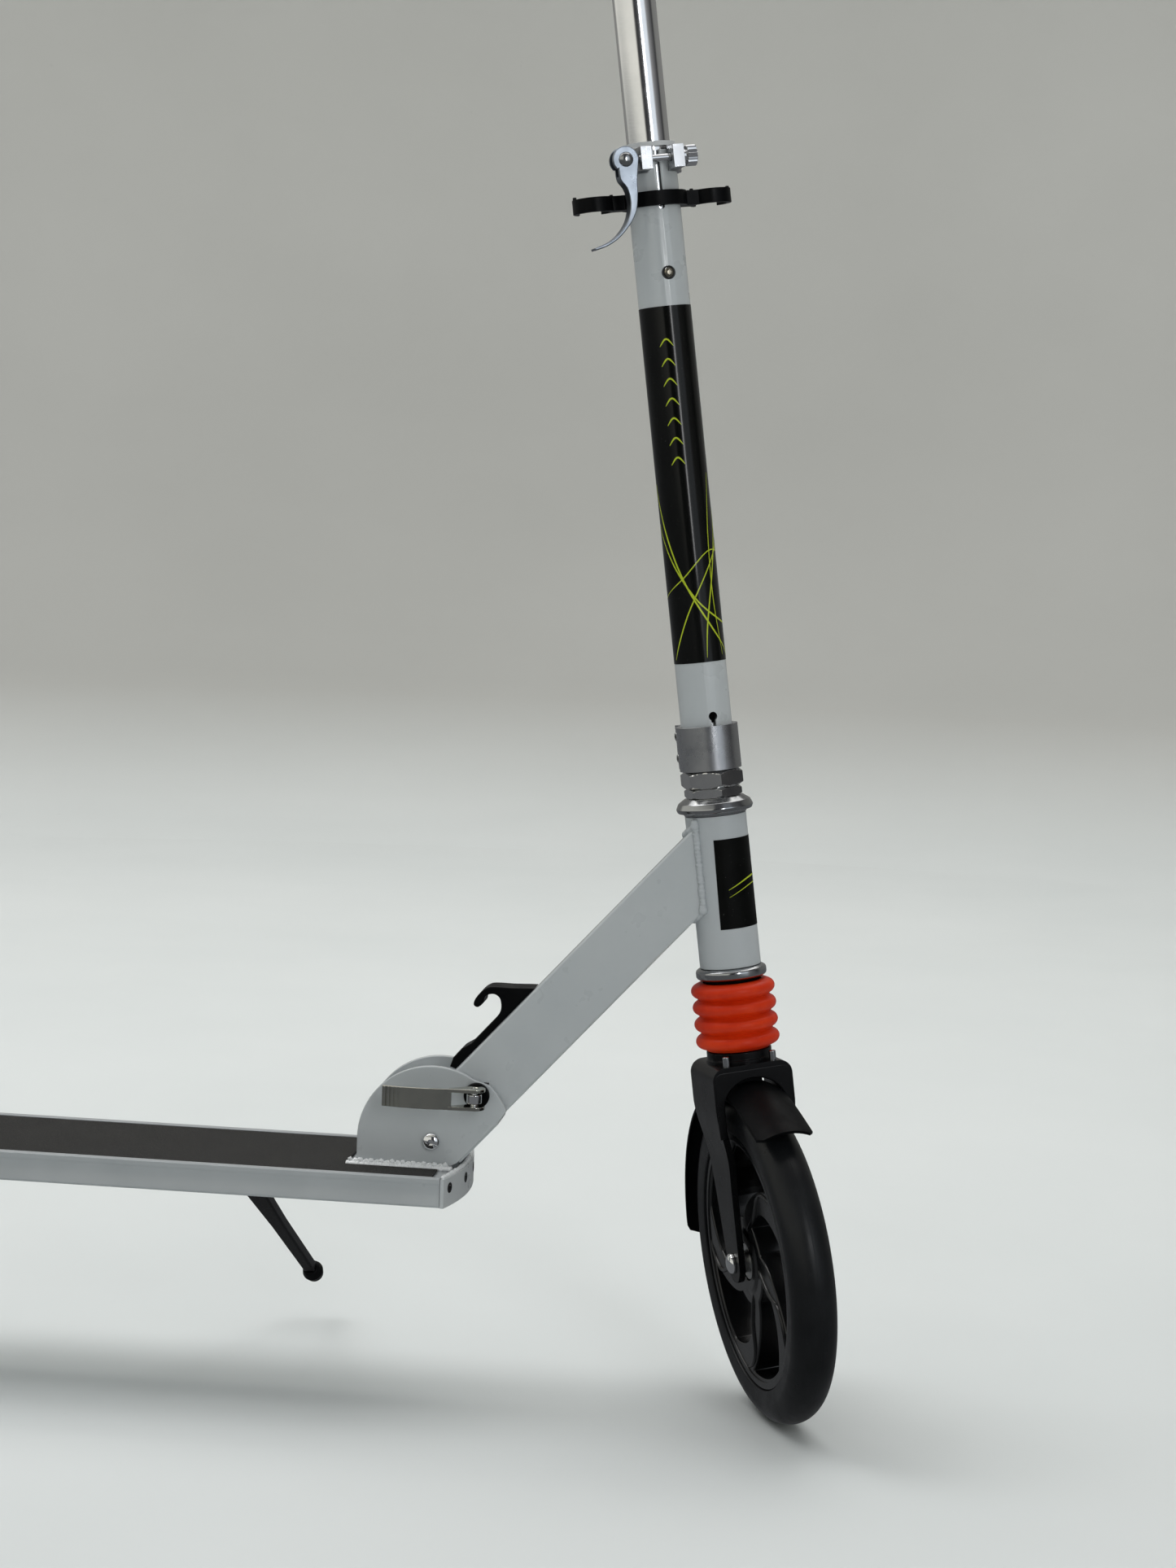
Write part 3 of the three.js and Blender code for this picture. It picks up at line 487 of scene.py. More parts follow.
class Look(Tree):
    """A material with one principled shader, patterned in the object's own coordinates."""

    def __init__(self, name):
        mat = bpy.data.materials.new(name)
        mat.use_nodes = True
        super().__init__(mat.node_tree)
        self.tree.nodes.clear()
        self.shader = self.node("BsdfPrincipled")
        self.link(self.shader.outputs[0], self.node("OutputMaterial").inputs[0])
        self.coord = self.node("TexCoord").outputs["Object"]
        MATERIALS[name] = mat

    def noise(self, scale, detail=3.0, rough=0.55, stretch=None):
        n = self.node("TexNoise", Scale=scale, Detail=detail, Roughness=rough)
        at = self.coord
        if stretch:
            m = self.node("Mapping", Scale=stretch)
            self.link(at, m.inputs[0])
            at = m.outputs[0]
        self.link(at, n.inputs["Vector"])
        return n.outputs["Fac"]

    def cells(self, scale):
        n = self.node("TexVoronoi", Scale=scale)
        self.link(self.coord, n.inputs["Vector"])
        return n.outputs["Distance"]

    def bump(self, height, strength, distance):
        n = self.node("Bump", Strength=strength, Distance=distance)
        self.link(height, n.inputs["Height"])
        return n.outputs[0]

    def set(self, **values):
        for key, value in values.items():
            self.put(value, self.shader.inputs[key.replace("_", " ")])


def paint(name, colour, shade, rough, peel=0.05, coat=0.0, gloss=0.5):
    """Sprayed paint: a slight orange peel, faint dust and uneven gloss."""
    m = Look(name)
    cloud = m.noise(22, 4)
    base = m.ramp(cloud, [(0.3, shade), (0.7, colour)])
    speck = m.ramp(m.noise(900, 2), [(0.0, 0.0), (0.735, 0.0), (0.75, 1.0)])
    dusty = m.mix(m.math("MULTIPLY", speck, 0.12), base, tuple(0.55 * c + 0.08 for c in colour))
    peel_bump = m.bump(m.noise(420, 2, 0.4), peel, 0.0004)
    m.set(Base_Color=dusty, Roughness=m.span(m.noise(60, 3), rough * 0.85, rough * 1.25), Normal=peel_bump)
    m.set(Coat_Weight=coat, Coat_Roughness=0.05, Specular_IOR_Level=gloss)


def plastic(name, colour, shade, rough, grain, size=1400, gloss=0.3):
    """Moulded plastic with a fine grain and rubbed patches."""
    m = Look(name)
    base = m.ramp(m.noise(35, 5), [(0.3, shade), (0.72, colour)])
    height = m.noise(size, 2, 0.6)
    m.set(Base_Color=base, Roughness=m.span(m.noise(90, 4), rough * 0.8, rough * 1.25),
          Normal=m.bump(height, grain, 0.0002), Specular_IOR_Level=gloss)


def metal(name, colour, shade, low, high, grain, stretch=None, size=500):
    """Plated or machined metal with smudges and fine lines."""
    m = Look(name)
    base = m.ramp(m.noise(45, 5), [(0.28, shade), (0.7, colour)])
    lines = m.noise(size, 3, 0.6, stretch)
    smudge = m.noise(70, 5, 0.65)
    m.set(Base_Color=base, Metallic=1.0, Roughness=m.span(smudge, low, high),
          Normal=m.bump(lines, grain, 0.0002))


paint("white_paint", (0.53, 0.558, 0.57), (0.49, 0.522, 0.538), 0.3, 0.05, 0.5)
# The deck's paint: the same white paint made darker, as painted shade on the deck's sides.
paint("deck_paint_painted_shade", (0.43, 0.455, 0.47), (0.39, 0.415, 0.43), 0.32, 0.05, 0.4)
# The head tube's paint: the same white paint, a little darker as painted shade, and duller.
paint("head_paint_painted_shade", (0.50, 0.528, 0.545), (0.46, 0.49, 0.51), 0.4, 0.06, 0.08)
# The welds' paint: the same white paint made much brighter, as a painted highlight for the beads' shine.
paint("weld_paint_painted_highlight", (0.84, 0.86, 0.87), (0.70, 0.73, 0.74), 0.26, 0.12, 0.6)
paint("black_paint", (0.0052, 0.0054, 0.006), (0.003, 0.0032, 0.0036), 0.24, 0.05, 0.0, 0.16)
plastic("white_plastic", (0.74, 0.76, 0.77), (0.66, 0.68, 0.69), 0.4, 0.08)
plastic("black_plastic", (0.0035, 0.0038, 0.0044), (0.002, 0.0022, 0.0026), 0.36, 0.12, 1400, 0.08)
plastic("guard_black", (0.0032, 0.0034, 0.004), (0.002, 0.0022, 0.0026), 0.42, 0.05, 900, 0.05)
plastic("hub_plastic", (0.006, 0.0065, 0.007), (0.003, 0.003, 0.0035), 0.2, 0.04, 900, 0.45)
metal("chrome", (0.80, 0.81, 0.82), (0.70, 0.71, 0.73), 0.07, 0.16, 0.02)
# Chrome tinted olive and darkened, as a painted reflection of a khaki surround. Used on the fold lever.
metal("chrome_painted_reflection", (0.56, 0.56, 0.49), (0.40, 0.40, 0.37), 0.10, 0.2, 0.05)
metal("button_brass", (0.34, 0.31, 0.25), (0.22, 0.20, 0.16), 0.2, 0.34, 0.05)
metal("tube_chrome", (0.88, 0.88, 0.89), (0.80, 0.81, 0.82), 0.10, 0.17, 0.03, (0.05, 0.05, 1.0), 2600)
metal("cup_steel", (0.44, 0.45, 0.46), (0.34, 0.35, 0.36), 0.12, 0.24, 0.04)
metal("steel", (0.62, 0.63, 0.62), (0.48, 0.49, 0.48), 0.22, 0.4, 0.06)
metal("lever_steel", (0.36, 0.395, 0.44), (0.23, 0.26, 0.30), 0.25, 0.42, 0.3, None, 240)
metal("nut_chrome", (0.70, 0.70, 0.69), (0.56, 0.56, 0.56), 0.08, 0.16, 0.03)
metal("alloy", (0.52, 0.53, 0.545), (0.41, 0.42, 0.435), 0.22, 0.36, 0.16, (1.0, 1.0, 0.04), 2400)


def tape_material():
    """Grit on adhesive sheet: packed grains, with painted glints of light on some of them."""
    m = Look("grip_tape")
    grains = m.cells(1350)
    tone = m.ramp(m.noise(1500, 2), [(0.38, (0.005, 0.005, 0.005)), (0.62, (0.03, 0.0295, 0.0275))])
    # Painted highlight: small bright flecks mixed into the grit's colour as glints.
    painted_glint = m.ramp(m.noise(2300, 1), [(0.0, 0.0), (0.68, 0.0), (0.74, 1.0)])
    patch = m.ramp(m.noise(30, 4), [(0.3, 0.72), (0.7, 1.0)])
    base = m.mix(painted_glint, m.mix(1.0, tone, patch, "MULTIPLY"), (0.26, 0.255, 0.24))
    m.set(Base_Color=base, Roughness=m.span(m.noise(1700, 1), 0.6, 0.98), Specular_IOR_Level=0.35,
          Normal=m.bump(grains, 0.9, 0.0006))


def tyre_material():
    """Cast polyurethane: satin, with faint rubbed bands and dust."""
    m = Look("tyre_black")
    base = m.ramp(m.noise(28, 6), [(0.3, (0.006, 0.0065, 0.0075)), (0.7, (0.011, 0.012, 0.0135))])
    dust = m.ramp(m.noise(260, 6, 0.7), [(0.0, 0.0), (0.6, 0.0), (0.78, 0.35)])
    m.set(Base_Color=m.mix(dust, base, (0.035, 0.036, 0.038)),
          Roughness=m.span(m.noise(55, 5, 0.7), 0.26, 0.44), Specular_IOR_Level=0.2,
          Normal=m.bump(m.noise(180, 4), 0.08, 0.0005))


def rubber_material():
    """Soft silicone rubber with a powdery bloom in its folds."""
    m = Look("bellows_orange")
    base = m.ramp(m.noise(40, 4), [(0.3, (0.56, 0.018, 0.0015)), (0.7, (0.74, 0.044, 0.003))])
    bloom = m.ramp(m.noise(160, 6, 0.7), [(0.0, 0.0), (0.55, 0.0), (0.8, 0.14)])
    m.set(Base_Color=m.mix(bloom, base, (0.85, 0.11, 0.03)), Roughness=m.span(m.noise(120, 4), 0.34, 0.52),
          Subsurface_Weight=0.03, Subsurface_Scale=0.002, Specular_IOR_Level=0.25,
          Normal=m.bump(m.noise(700, 3), 0.09, 0.0003))


def foam_material():
    """Closed-cell foam: tiny pores and a dull sheen."""
    m = Look("grip_foam")
    base = m.ramp(m.noise(90, 5), [(0.3, (0.012, 0.012, 0.013)), (0.7, (0.03, 0.03, 0.031))])
    m.set(Base_Color=base, Roughness=m.span(m.noise(400, 3), 0.7, 0.95), Sheen_Weight=0.15,
          Normal=m.bump(m.cells(1500), 0.5, 0.0004))


def label_material(name, colour, shade, rough, coat=0.12, gloss=0.3):
    """Printed vinyl film."""
    m = Look(name)
    base = m.ramp(m.noise(50, 5), [(0.3, shade), (0.7, colour)])
    dust = m.ramp(m.noise(1100, 2), [(0.0, 0.0), (0.73, 0.0), (0.76, 0.3)])
    m.set(Base_Color=m.mix(dust, base, (0.25, 0.25, 0.25)), Normal=m.bump(m.noise(160, 3), 0.04, 0.0005),
          Roughness=m.span(m.noise(60, 4), rough, rough * 1.6), Coat_Weight=coat, Coat_Roughness=0.06,
          Specular_IOR_Level=gloss)


tape_material()
tyre_material()
rubber_material()
foam_material()
label_material("label_black", (0.004, 0.0044, 0.004), (0.002, 0.0023, 0.002), 0.14, 0.25, 0.15)
label_material("head_label_black", (0.004, 0.0044, 0.004), (0.002, 0.0023, 0.002), 0.34, 0.0, 0.08)
label_material("label_line", (0.52, 0.62, 0.03), (0.44, 0.54, 0.025), 0.2)
# Near-black for the nose's screw holes and the gap round the button: painted shade.
label_material("painted_shade_black", (0.012, 0.012, 0.012), (0.006, 0.006, 0.006), 0.5)

# ---- camera, light and floor ---------------------------------------------------------------------
YAW, PITCH, ROLL = math.radians(6.53), math.radians(5.92), math.radians(2.17)
CAMERA_AT = Vector((0.4788, -1.9075, 0.4350))
look_dir = Vector((-math.sin(YAW) * math.cos(PITCH), math.cos(YAW) * math.cos(PITCH), -math.sin(PITCH)))
flat_right = Vector((math.cos(YAW), math.sin(YAW), 0))
flat_up = flat_right.cross(look_dir)
cam_right = math.cos(ROLL) * flat_right + math.sin(ROLL) * flat_up
cam_up = math.cos(ROLL) * flat_up - math.sin(ROLL) * flat_right
camera_data = bpy.data.cameras.new("camera")
camera_data.sensor_width = 36
camera_data.lens = 73.57
camera_data.clip_start = 0.05
camera_data.clip_end = 60
camera = bpy.data.objects.new("camera", camera_data)
camera_turn = Matrix((cam_right, cam_up, -look_dir)).transposed().to_4x4()
camera.matrix_world = Matrix.Translation(CAMERA_AT) @ camera_turn
bpy.context.scene.collection.objects.link(camera)
bpy.context.scene.camera = camera
bpy.context.scene.view_settings.view_transform = "Standard"


def surroundings():
    """Soft fill for every ray but the glossy ones, which see what polished metal reflects."""
    world = bpy.data.worlds.new("studio")
    world.use_nodes = True
    bpy.context.scene.world = world
    w = Tree(world.node_tree)
    split = w.node("SeparateXYZ")
    w.link(w.node("TexCoord").outputs["Generated"], split.inputs[0])
    east, north, height = split.outputs
    # Soft fill, stronger from above.
    fill = w.tree.nodes["Background"]
    fill.inputs[0].default_value = (0.96, 0.98, 1.0, 1)
    w.link(w.span(height, 0.25, 0.46, -0.3, 0.8), fill.inputs[1])
    # Pale walls, dark gaps and one broad window, set out by compass direction.
    cream, dark = (0.78, 0.77, 0.70), (0.035, 0.035, 0.037)
    window, grey = (0.80, 0.86, 0.92), (0.26, 0.26, 0.26)
    walls = w.ramp(w.span(w.math("ARCTAN2", north, east), 0.0, 1.0, -math.pi, math.pi), [
        (0.0, cream), (0.232, cream), (0.25, dark), (0.322, dark), (0.335, window), (0.412, window),
        (0.432, grey), (0.53, dark), (0.57, (0.20, 0.20, 0.19)), (0.90, (0.24, 0.24, 0.23)), (0.93, cream)])
    # A grey ground below them and a dark ceiling above.
    with_ground = w.mix(w.span(height, 0.0, 1.0, -0.06, 0.02), (0.15, 0.155, 0.16), walls)
    with_ceiling = w.mix(w.span(height, 0.0, 1.0, 0.45, 0.80), with_ground, (0.12, 0.12, 0.125))
    reflected = w.node("Background")
    w.link(with_ceiling, reflected.inputs[0])
    pick = w.node("MixShader")
    w.link(w.node("LightPath").outputs["Is Glossy Ray"], pick.inputs[0])
    w.link(fill.outputs[0], pick.inputs[1])
    w.link(reflected.outputs[0], pick.inputs[2])
    w.link(pick.outputs[0], w.tree.nodes["World Output"].inputs[0])


def softbox(name, at, aim, size, power, colour=(1, 1, 1), diffuse=True, glossy=True):
    data = bpy.data.lights.new(name, "AREA")
    data.shape = "RECTANGLE"
    data.size, data.size_y = size
    data.energy = power
    data.color = colour
    ob = bpy.data.objects.new(name, data)
    ob.location = at
    ob.rotation_euler = (Vector(aim) - Vector(at)).to_track_quat("-Z", "Y").to_euler()
    ob.visible_camera = False
    ob.visible_diffuse = diffuse
    ob.visible_glossy = glossy
    bpy.context.scene.collection.objects.link(ob)


def lights():
    cool, warm = (0.98, 0.99, 1.0), (1.0, 0.97, 0.90)
    softbox("overhead", (0.0, 0.9, 2.9), (0.2, 0.0, 0.0), (3.8, 3.2), 56, (1.0, 0.985, 0.955))
    softbox("overhead_left", (-1.6, 0.2, 2.6), (0.2, 0.0, 0.0), (1.4, 1.4), 17)
    softbox("side_fill", (1.9, -3.0, 1.45), (0.3, 0.0, 0.3), (0.9, 2.0), 23, cool, glossy=False)
    # A narrow light that only reflections show: the bright streak down the tubes.
    softbox("window_strip", (1.50, -2.15, 1.02), (0.3, 0.0, 0.5), (0.26, 1.1), 8.5, cool, diffuse=False)
    softbox("wall_wash_a", (-1.2, 2.0, 3.6), (-1.2, 4.6, 1.2), (2.6, 1.0), 21, warm)
    softbox("wall_wash_b", (2.0, 2.0, 3.6), (2.0, 4.6, 1.2), (2.6, 1.0), 13, warm)


def sweep_round():
    """The paper: a flat floor, then a wide curve up to a wall, all round the part."""
    flat_r, curve_r, top, n = 2.7, 2.2, 5.2, 144
    bend = [math.radians(6 * k) for k in range(1, 16)]
    ground = [(flat_r * k / 12, 0.0) for k in range(1, 13)]
    rise = [(flat_r, 0.0)] + [(flat_r + curve_r * math.sin(a), curve_r * (1 - math.cos(a))) for a in bend]
    rise.append((flat_r + curve_r, top))
    for name, profile, centre in (("floor", ground, True), ("backdrop", rise, False)):
        verts, faces = [(0, 0, 0)] if centre else [], []
        first = len(verts)
        for r, z in profile:
            for k in range(n):
                a = 2 * math.pi * k / n
                verts.append((r * math.cos(a), r * math.sin(a), z))
        if centre:
            faces += [(0, 1 + k, 1 + (k + 1) % n) for k in range(n)]
        for i in range(len(profile) - 1):
            for k in range(n):
                a, b = first + i * n, first + (i + 1) * n
                faces.append((a + k, b + k, b + (k + 1) % n, a + (k + 1) % n))
        me = mesh_of(verts, faces)
        for p in me.polygons:
            p.use_smooth = True
        ob = bpy.data.objects.new(name, me)
        ob.location = (0.1, 0, FLOOR_LEVEL - 0.0005)
        ob.visible_glossy = False
        me.materials.append(MATERIALS["paper"])
        bpy.context.scene.collection.objects.link(ob)


def paper_material():
    """Pale studio paper with faint scuffs, and painted light: a cool cast on the floor, and a warm cast and
    painted shade up the wall.
    """
    m = Look("paper")
    split = m.node("SeparateXYZ")
    m.link(m.coord, split.inputs[0])
    height = m.span(split.outputs[2], 0.0, 1.0, 0.0, 0.16)
    cloud = m.noise(1.3, 4)
    low = m.ramp(cloud, [(0.3, (0.70, 0.735, 0.735)), (0.7, (0.75, 0.78, 0.78))])
    high = m.ramp(cloud, [(0.3, (0.575, 0.58, 0.56)), (0.7, (0.61, 0.615, 0.595))])
    # Painted shade: darkest just above the floor, where the paper curves up.
    level = m.span(split.outputs[2], 0.0, 1.0, 0.0, 1.3)
    painted_shade_near_floor = m.ramp(level, [(0.02, 1.0), (0.14, 0.87), (0.5, 0.89), (1.0, 1.0)])
    base = m.mix(1.0, m.mix(height, low, high), painted_shade_near_floor, "MULTIPLY")
    scuff = m.ramp(m.noise(26, 8, 0.75, (1.0, 2.2, 1.0)), [(0.0, 0.0), (0.675, 0.0), (0.74, 0.4)])
    m.set(Base_Color=m.mix(scuff, base, (0.46, 0.46, 0.45)), Roughness=m.span(m.noise(7, 4), 0.6, 0.75),
          Specular_IOR_Level=0.05, Normal=m.bump(m.noise(300, 3), 0.03, 0.001))


paper_material()
surroundings()
lights()
sweep_round()


# ---- wheels --------------------------------------------------------------------------------------
def tyre_shape():
    crown = arc(86, 0, 14, -90, 90, 40)
    seam = [(99.9, -0.5), (100.0, -0.25), (100.0, 0.25), (99.9, 0.5)]
    outer = [p for p in crown if p[1] < -0.6] + seam + [p for p in crown if p[1] > 0.6]
    bead = [(77.8, 12.2), (78.4, 13.0), (80.0, 13.4)]
    profile = [*((r, -y) for r, y in bead), *outer, *bead[::-1]]
    return moved(lathe(profile + [profile[0]], 160), ALONG_Y)


WINDOW_IN, WINDOW_OUT = 27, 71


def spoke_window(turn):
    """The outline of the opening between two curved spokes."""
    def edge(start, bend, lead):
        out = []
        for i in range(13):
            t = i / 12
            r = WINDOW_IN + (WINDOW_OUT - WINDOW_IN) * t
            a = math.radians(turn + start + lead * t + bend * math.sin(math.pi * t))
            out.append((r * math.cos(a), r * math.sin(a)))
        return out

    one, other = edge(14, -6, 40), edge(54, 4, 44)
    rim = arc(0, 0, WINDOW_OUT, turn + 54, turn + 98, 10)[1:-1]
    base = arc(0, 0, WINDOW_IN, turn + 54, turn + 14, 6)[1:-1]
    return rounded([*one, *rim, *other[::-1], *base], 5.5, 5)


def hub_shape():
    windows = [spoke_window(72 * i) for i in range(5)]
    bore = circle(0, 0, 11.6, 40)
    disc = plate(circle(0, 0, 76.4, 120), -11.2, 11.2, (*windows, bore), 1.3, 3)
    parts = [moved(disc, ALONG_Y)]
    for s in (-1, 1):
        lip = [(73.2, 10.4 * s), (73.2, 12.0 * s), (77.5, 12.0 * s), (77.5, 10.4 * s)]
        boss = [(11.8, 10 * s), (11.8, 12.3 * s), (17.5, 12.3 * s), (21, 11.0 * s), (21, 10 * s)]
        parts += [moved(hoop(lip, 0.6, 3, 140), ALONG_Y), moved(hoop(boss, 0.8, 3, 72), ALONG_Y)]
        for i in range(5):
            path = []
            for k in range(19):
                t = k / 18
                r = 20.5 + (73.6 - 20.5) * t
                a = math.radians(72 * i + 2 + 33 * t + 6 * math.sin(2 * math.pi * t))
                path.append(Vector((r * math.cos(a), r * math.sin(a), 11.0 * s)))
            parts.append(moved(sweep(path, 1.5, 12), ALONG_Y))
    return merged(*parts)


def bearing_shape(half):
    one = [(4.3, -half), (6.6, -half), (6.6, -11.4), (7.2, -11.4), (7.2, -11.0), (9.7, -11.0), (9.7, -11.4),
           (10.9, -11.4), (10.9, -5), (7, -5)]
    return moved(hoop([*one, *((r, -y) for r, y in one[::-1])], 0.25, 2, 48), ALONG_Y)


tyre_mesh, hub_mesh = tyre_shape(), hub_shape()
for end, place, half in (("front", FRONT, 15.6), ("rear", REAR, 19.6)):
    swap(f"{end}_tyre", tyre_mesh, place)
    swap(f"{end}_hub", hub_mesh, place, "hub_plastic")
    swap(f"{end}_bearings", bearing_shape(half), place)


def dome(shank, head, under, height, end, socket=0.0):
    """A button-head bolt along Y: its head outside y = under, its shank up to y = end."""
    profile = [(0, under - height)]
    for k in range(1, 12):
        a = math.pi / 2 * k / 11
        profile.append((head * math.sin(a), under - (0.9 + (height - 0.9) * math.cos(a))))
    profile += [(head, under), (shank, under), (shank, end - 0.5), (shank - 0.5, end), (0, end)]
    me = moved(lathe(profile, 56), ALONG_Y)
    if socket:
        key = plate(circle(0, 0, socket, 6), under - height - 1, under - height * 0.35, (), 0.01, 0)
        me = carved(me, moved(key, ALONG_Y))
    return me


def hex_nut(across, hole, y0, y1):
    corner = across / 2 / math.cos(math.pi / 6)
    body = plate(circle(0, 0, corner, 6), y0, y1, (circle(0, 0, hole, 24),), 0.45, 2)
    near, far = hole + 0.1, hole + 1.5
    collar = [(near, y1 - 0.6), (far, y1 - 0.6), (hole + 1.3, y1 + 0.5), (near, y1 + 0.5)]
    return merged(moved(body, ALONG_Y), moved(lathe([*collar, collar[0]], 32), ALONG_Y))


swap("front_axle_bolt", dome(4, 6.2, -20.3, 4, 27.5), FRONT)
swap("rear_axle_bolt", dome(4, 6.4, -24.3, 4, 31), REAR)
swap("front_axle_nut", hex_nut(13, 4.3, 20.3, 25.5), FRONT)
swap("rear_axle_nut", hex_nut(13, 4.3, 24.3, 29.5), REAR)


# ---- fork and mudguard ---------------------------------------------------------------------------
def span_at(outline, level):
    """Where a horizontal line at this height crosses a closed outline: lowest and highest first value."""
    hits = []
    for (x0, y0), (x1, y1) in zip(outline, outline[1:] + outline[:1]):
        if (y0 - level) * (y1 - level) <= 0 and y0 != y1:
            hits.append(x0 + (x1 - x0) * (level - y0) / (y1 - y0))
    return min(hits), max(hits)


FORK_FOOT = -11.9


def fork_shape():
    """Two legs bent from one sheet, with a flange under the arch, a boss and the stanchion."""
    side = [(-23, 121.5), (23, 121.5), (23, 95), (21.5, 50), *arc(10, 0, 12, 10, -190, 40), (-11, 42),
            (-20, 74), (-23, 95)]
    half = [(20, FORK_FOOT + 0.35 * k) for k in range(6)] + [(20, -9 + 3.2 * k) for k in range(22)]
    half += [(20.25, 64), (21, 70), (22.2, 77), (23.6, 84), (24.6, 90), (25, 96), (25, 104), (25, 110)]
    half += arc(17, 113, 8, 0, 90, 8) + [(12, 121), (6, 121), (0, 121)]
    path = half + [(-v, w) for v, w in half[-2::-1]]
    rows = []
    for i, (v, w) in enumerate(path):
        a, b = Vector(path[max(i - 1, 0)]), Vector(path[min(i + 1, len(path) - 1)])
        t = (b - a).normalized()
        n = Vector((0, t.y, -t.x))
        low, high = span_at(side, min(max(w, FORK_FOOT), 121))
        rows.append([(Vector((low + (high - low) * k / 8, v, w)), n) for k in range(9)])
    legs = bevelled(shell(rows, 4.0), 1.0, 3, 50)
    turns = [math.radians(6 * k) for k in range(31)]
    inner = [(-19.2, 78), *((-19.2 * math.cos(a), 96 + 16.6 * math.sin(a)) for a in turns), (19.2, 78)]
    outer = rounded([(23.6, 78), (24.4, 92), (24.4, 118.5), (-24.4, 118.5), (-24.4, 92), (-23.6, 78)],
                    6, 6, False)
    flange = moved(plate([*inner, *outer], 19.6, 23.2, (), 0.9, 3), SIDEWAYS)
    boss = spun([(0, 119), (20.2, 119), (20.2, 122.6), (19.6, 123.4), (19.6, 127.6), (17, 127.9), (17, 124),
                 (0, 124)], 0.5, 3, 72)
    stanchion = lathe([(0, 120), (9.9, 120), (9.9, 249), (9.2, 250), (0, 250)], 48)
    return merged(legs, flange, boss, stanchion)


swap("fork", fork_shape(), STEER)
pin = spun([(0, 120.5), (2.1, 120.5), (2.1, 127), (0, 127)], 0.7, 3, 24)
pins = merged(*(shift(pin, 19.4, 14.6 * s) for s in (-1, 1)))
piece("crown_pins", pins, STEER, "cup_steel", "fork")
# The turn over which a guard's lip flares, and the radius of the lip's corners.
FLARE_TURN, LIP_CORNER = 18.5, 3


def guard_shape(inner, thick, half, start, stop, flare, corner, edge=0.5, crown=0.0):
    """A curved guard round the wheel's axle, from angle start to stop."""
    rows, count = [], 72
    for i in range(count + 1):
        deg = start + (stop - start) * i / count
        a = math.radians(deg)
        lift = flare * max(0.0, (start + FLARE_TURN - deg) / FLARE_TURN) ** 2
        w = half
        for radius, turn in ((corner, stop - deg), (LIP_CORNER, deg - start)):
            away = turn * math.radians(1) * inner
            if away < radius:
                w = min(w, half - radius + math.sqrt(max(radius ** 2 - (radius - away) ** 2, 0.0)))
        n = Vector((math.cos(a), 0, math.sin(a)))
        rows.append([])
        for k in range(13):
            y = w * (k / 6 - 1)
            rows[-1].append((n * (inner + thick + lift - crown * (y / half) ** 2) + Vector((0, y, 0)), n))
    return bevelled(shell(rows, thick), edge, 2, 50)


# The inner radius of both guards.
GUARD_R = 107.6
mount = block(-14, 6, -8, 8, 106.5, 115.2, 0.8)
guard = guard_shape(GUARD_R, 2.4, 17.4, 51.5, 182, 4.4, 9, 0.5, 6.5)
swap("mudguard", merged(guard, mount), FRONT, "guard_black")

brake = guard_shape(GUARD_R, 2.6, 19, 37, 154, 0.0, 12, 0.6)
ribs = []
for k in range(9):
    a = math.radians(96 + 5.2 * k)
    bar = block(-0.9, 0.9, -12, 12, -0.6, 1.1, 0.4, 2)
    turn = Matrix.Rotation(math.pi / 2 - a, 4, "Y")
    centre = Matrix.Translation((110.0 * math.cos(a), 0, 110.0 * math.sin(a)))
    ribs.append(moved(bar, centre @ turn))
lug_x, lug_z = 98, 60
lug = [*arc(lug_x, lug_z, 6.8, -120, 60, 16), *arc(0, 0, 110.1, 37, 51, 6), *arc(0, 0, 108.1, 51, 37, 6)]
pin_hole = [circle(lug_x, lug_z, 3.3, 20)]
lugs = [wall(lug, -18.6, -13, pin_hole, 0.6), wall(lug, 13, 18.6, pin_hole, 0.6)]
swap("brake_fender", merged(brake, *ribs, *lugs), REAR)


# ---- suspension and headset ----------------------------------------------------------------------
BELLOWS_LOW, BELLOWS_HIGH = 128.2, 169.6


def bellows_shape():
    lobes = [133.9, 144.2, 154.5, 164.6]
    outside = [(19.0, BELLOWS_LOW), (19.8, BELLOWS_LOW + 0.5), (20.8, 129.4)]
    for i, w in enumerate(lobes):
        outside += [(20.9 + 4.4 * math.cos(math.radians(a)), w + 4.15 * math.sin(math.radians(a)))
                    for a in range(-66, 67, 12)]
        if i < 3:
            outside.append((21.3, w + 5.15))
    outside += [(20.6, 169.3), (19.4, BELLOWS_HIGH)]
    inside = [(17.8, 169.4), (17.8, BELLOWS_LOW)]
    return lathe([*outside, *inside, outside[0]], 96)


bellows = swap("bellows", bellows_shape(), STEER, smooth=70, flat_normals=False)


def closing(ob):
    """Gives the piece a mesh of its own."""
    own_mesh(ob)


closing(bellows)
cup = rounded([(13.1, 270.9), (18.9, 270.9), (18.9, 272.4), (22.2, 272.6), (23.2, 275), (21.6, 278.4),
               (17.6, 281.1), (13.1, 281.1)], 1.6, 5)
swap("upper_cup", lathe([*cup, (13.1, 270.9)], 96), HEAD, "cup_steel", smooth=60)
cup = rounded([(13.1, 171), (18.6, 171), (21.3, 172.4), (21.3, 176.8), (18.8, 178.2), (13.1, 178.2)],
              2.4, 6)
swap("lower_cup", lathe([*cup, (13.1, 171)], 96), HEAD, "cup_steel", smooth=60)
seal = rounded([(16, 166.8), (16, 170.7), (13.1, 170.7), (13.1, 166.8)], 0.5, 3)
swap("seal_ring", lathe([*seal, (16, 167.3)], 72), STEER)


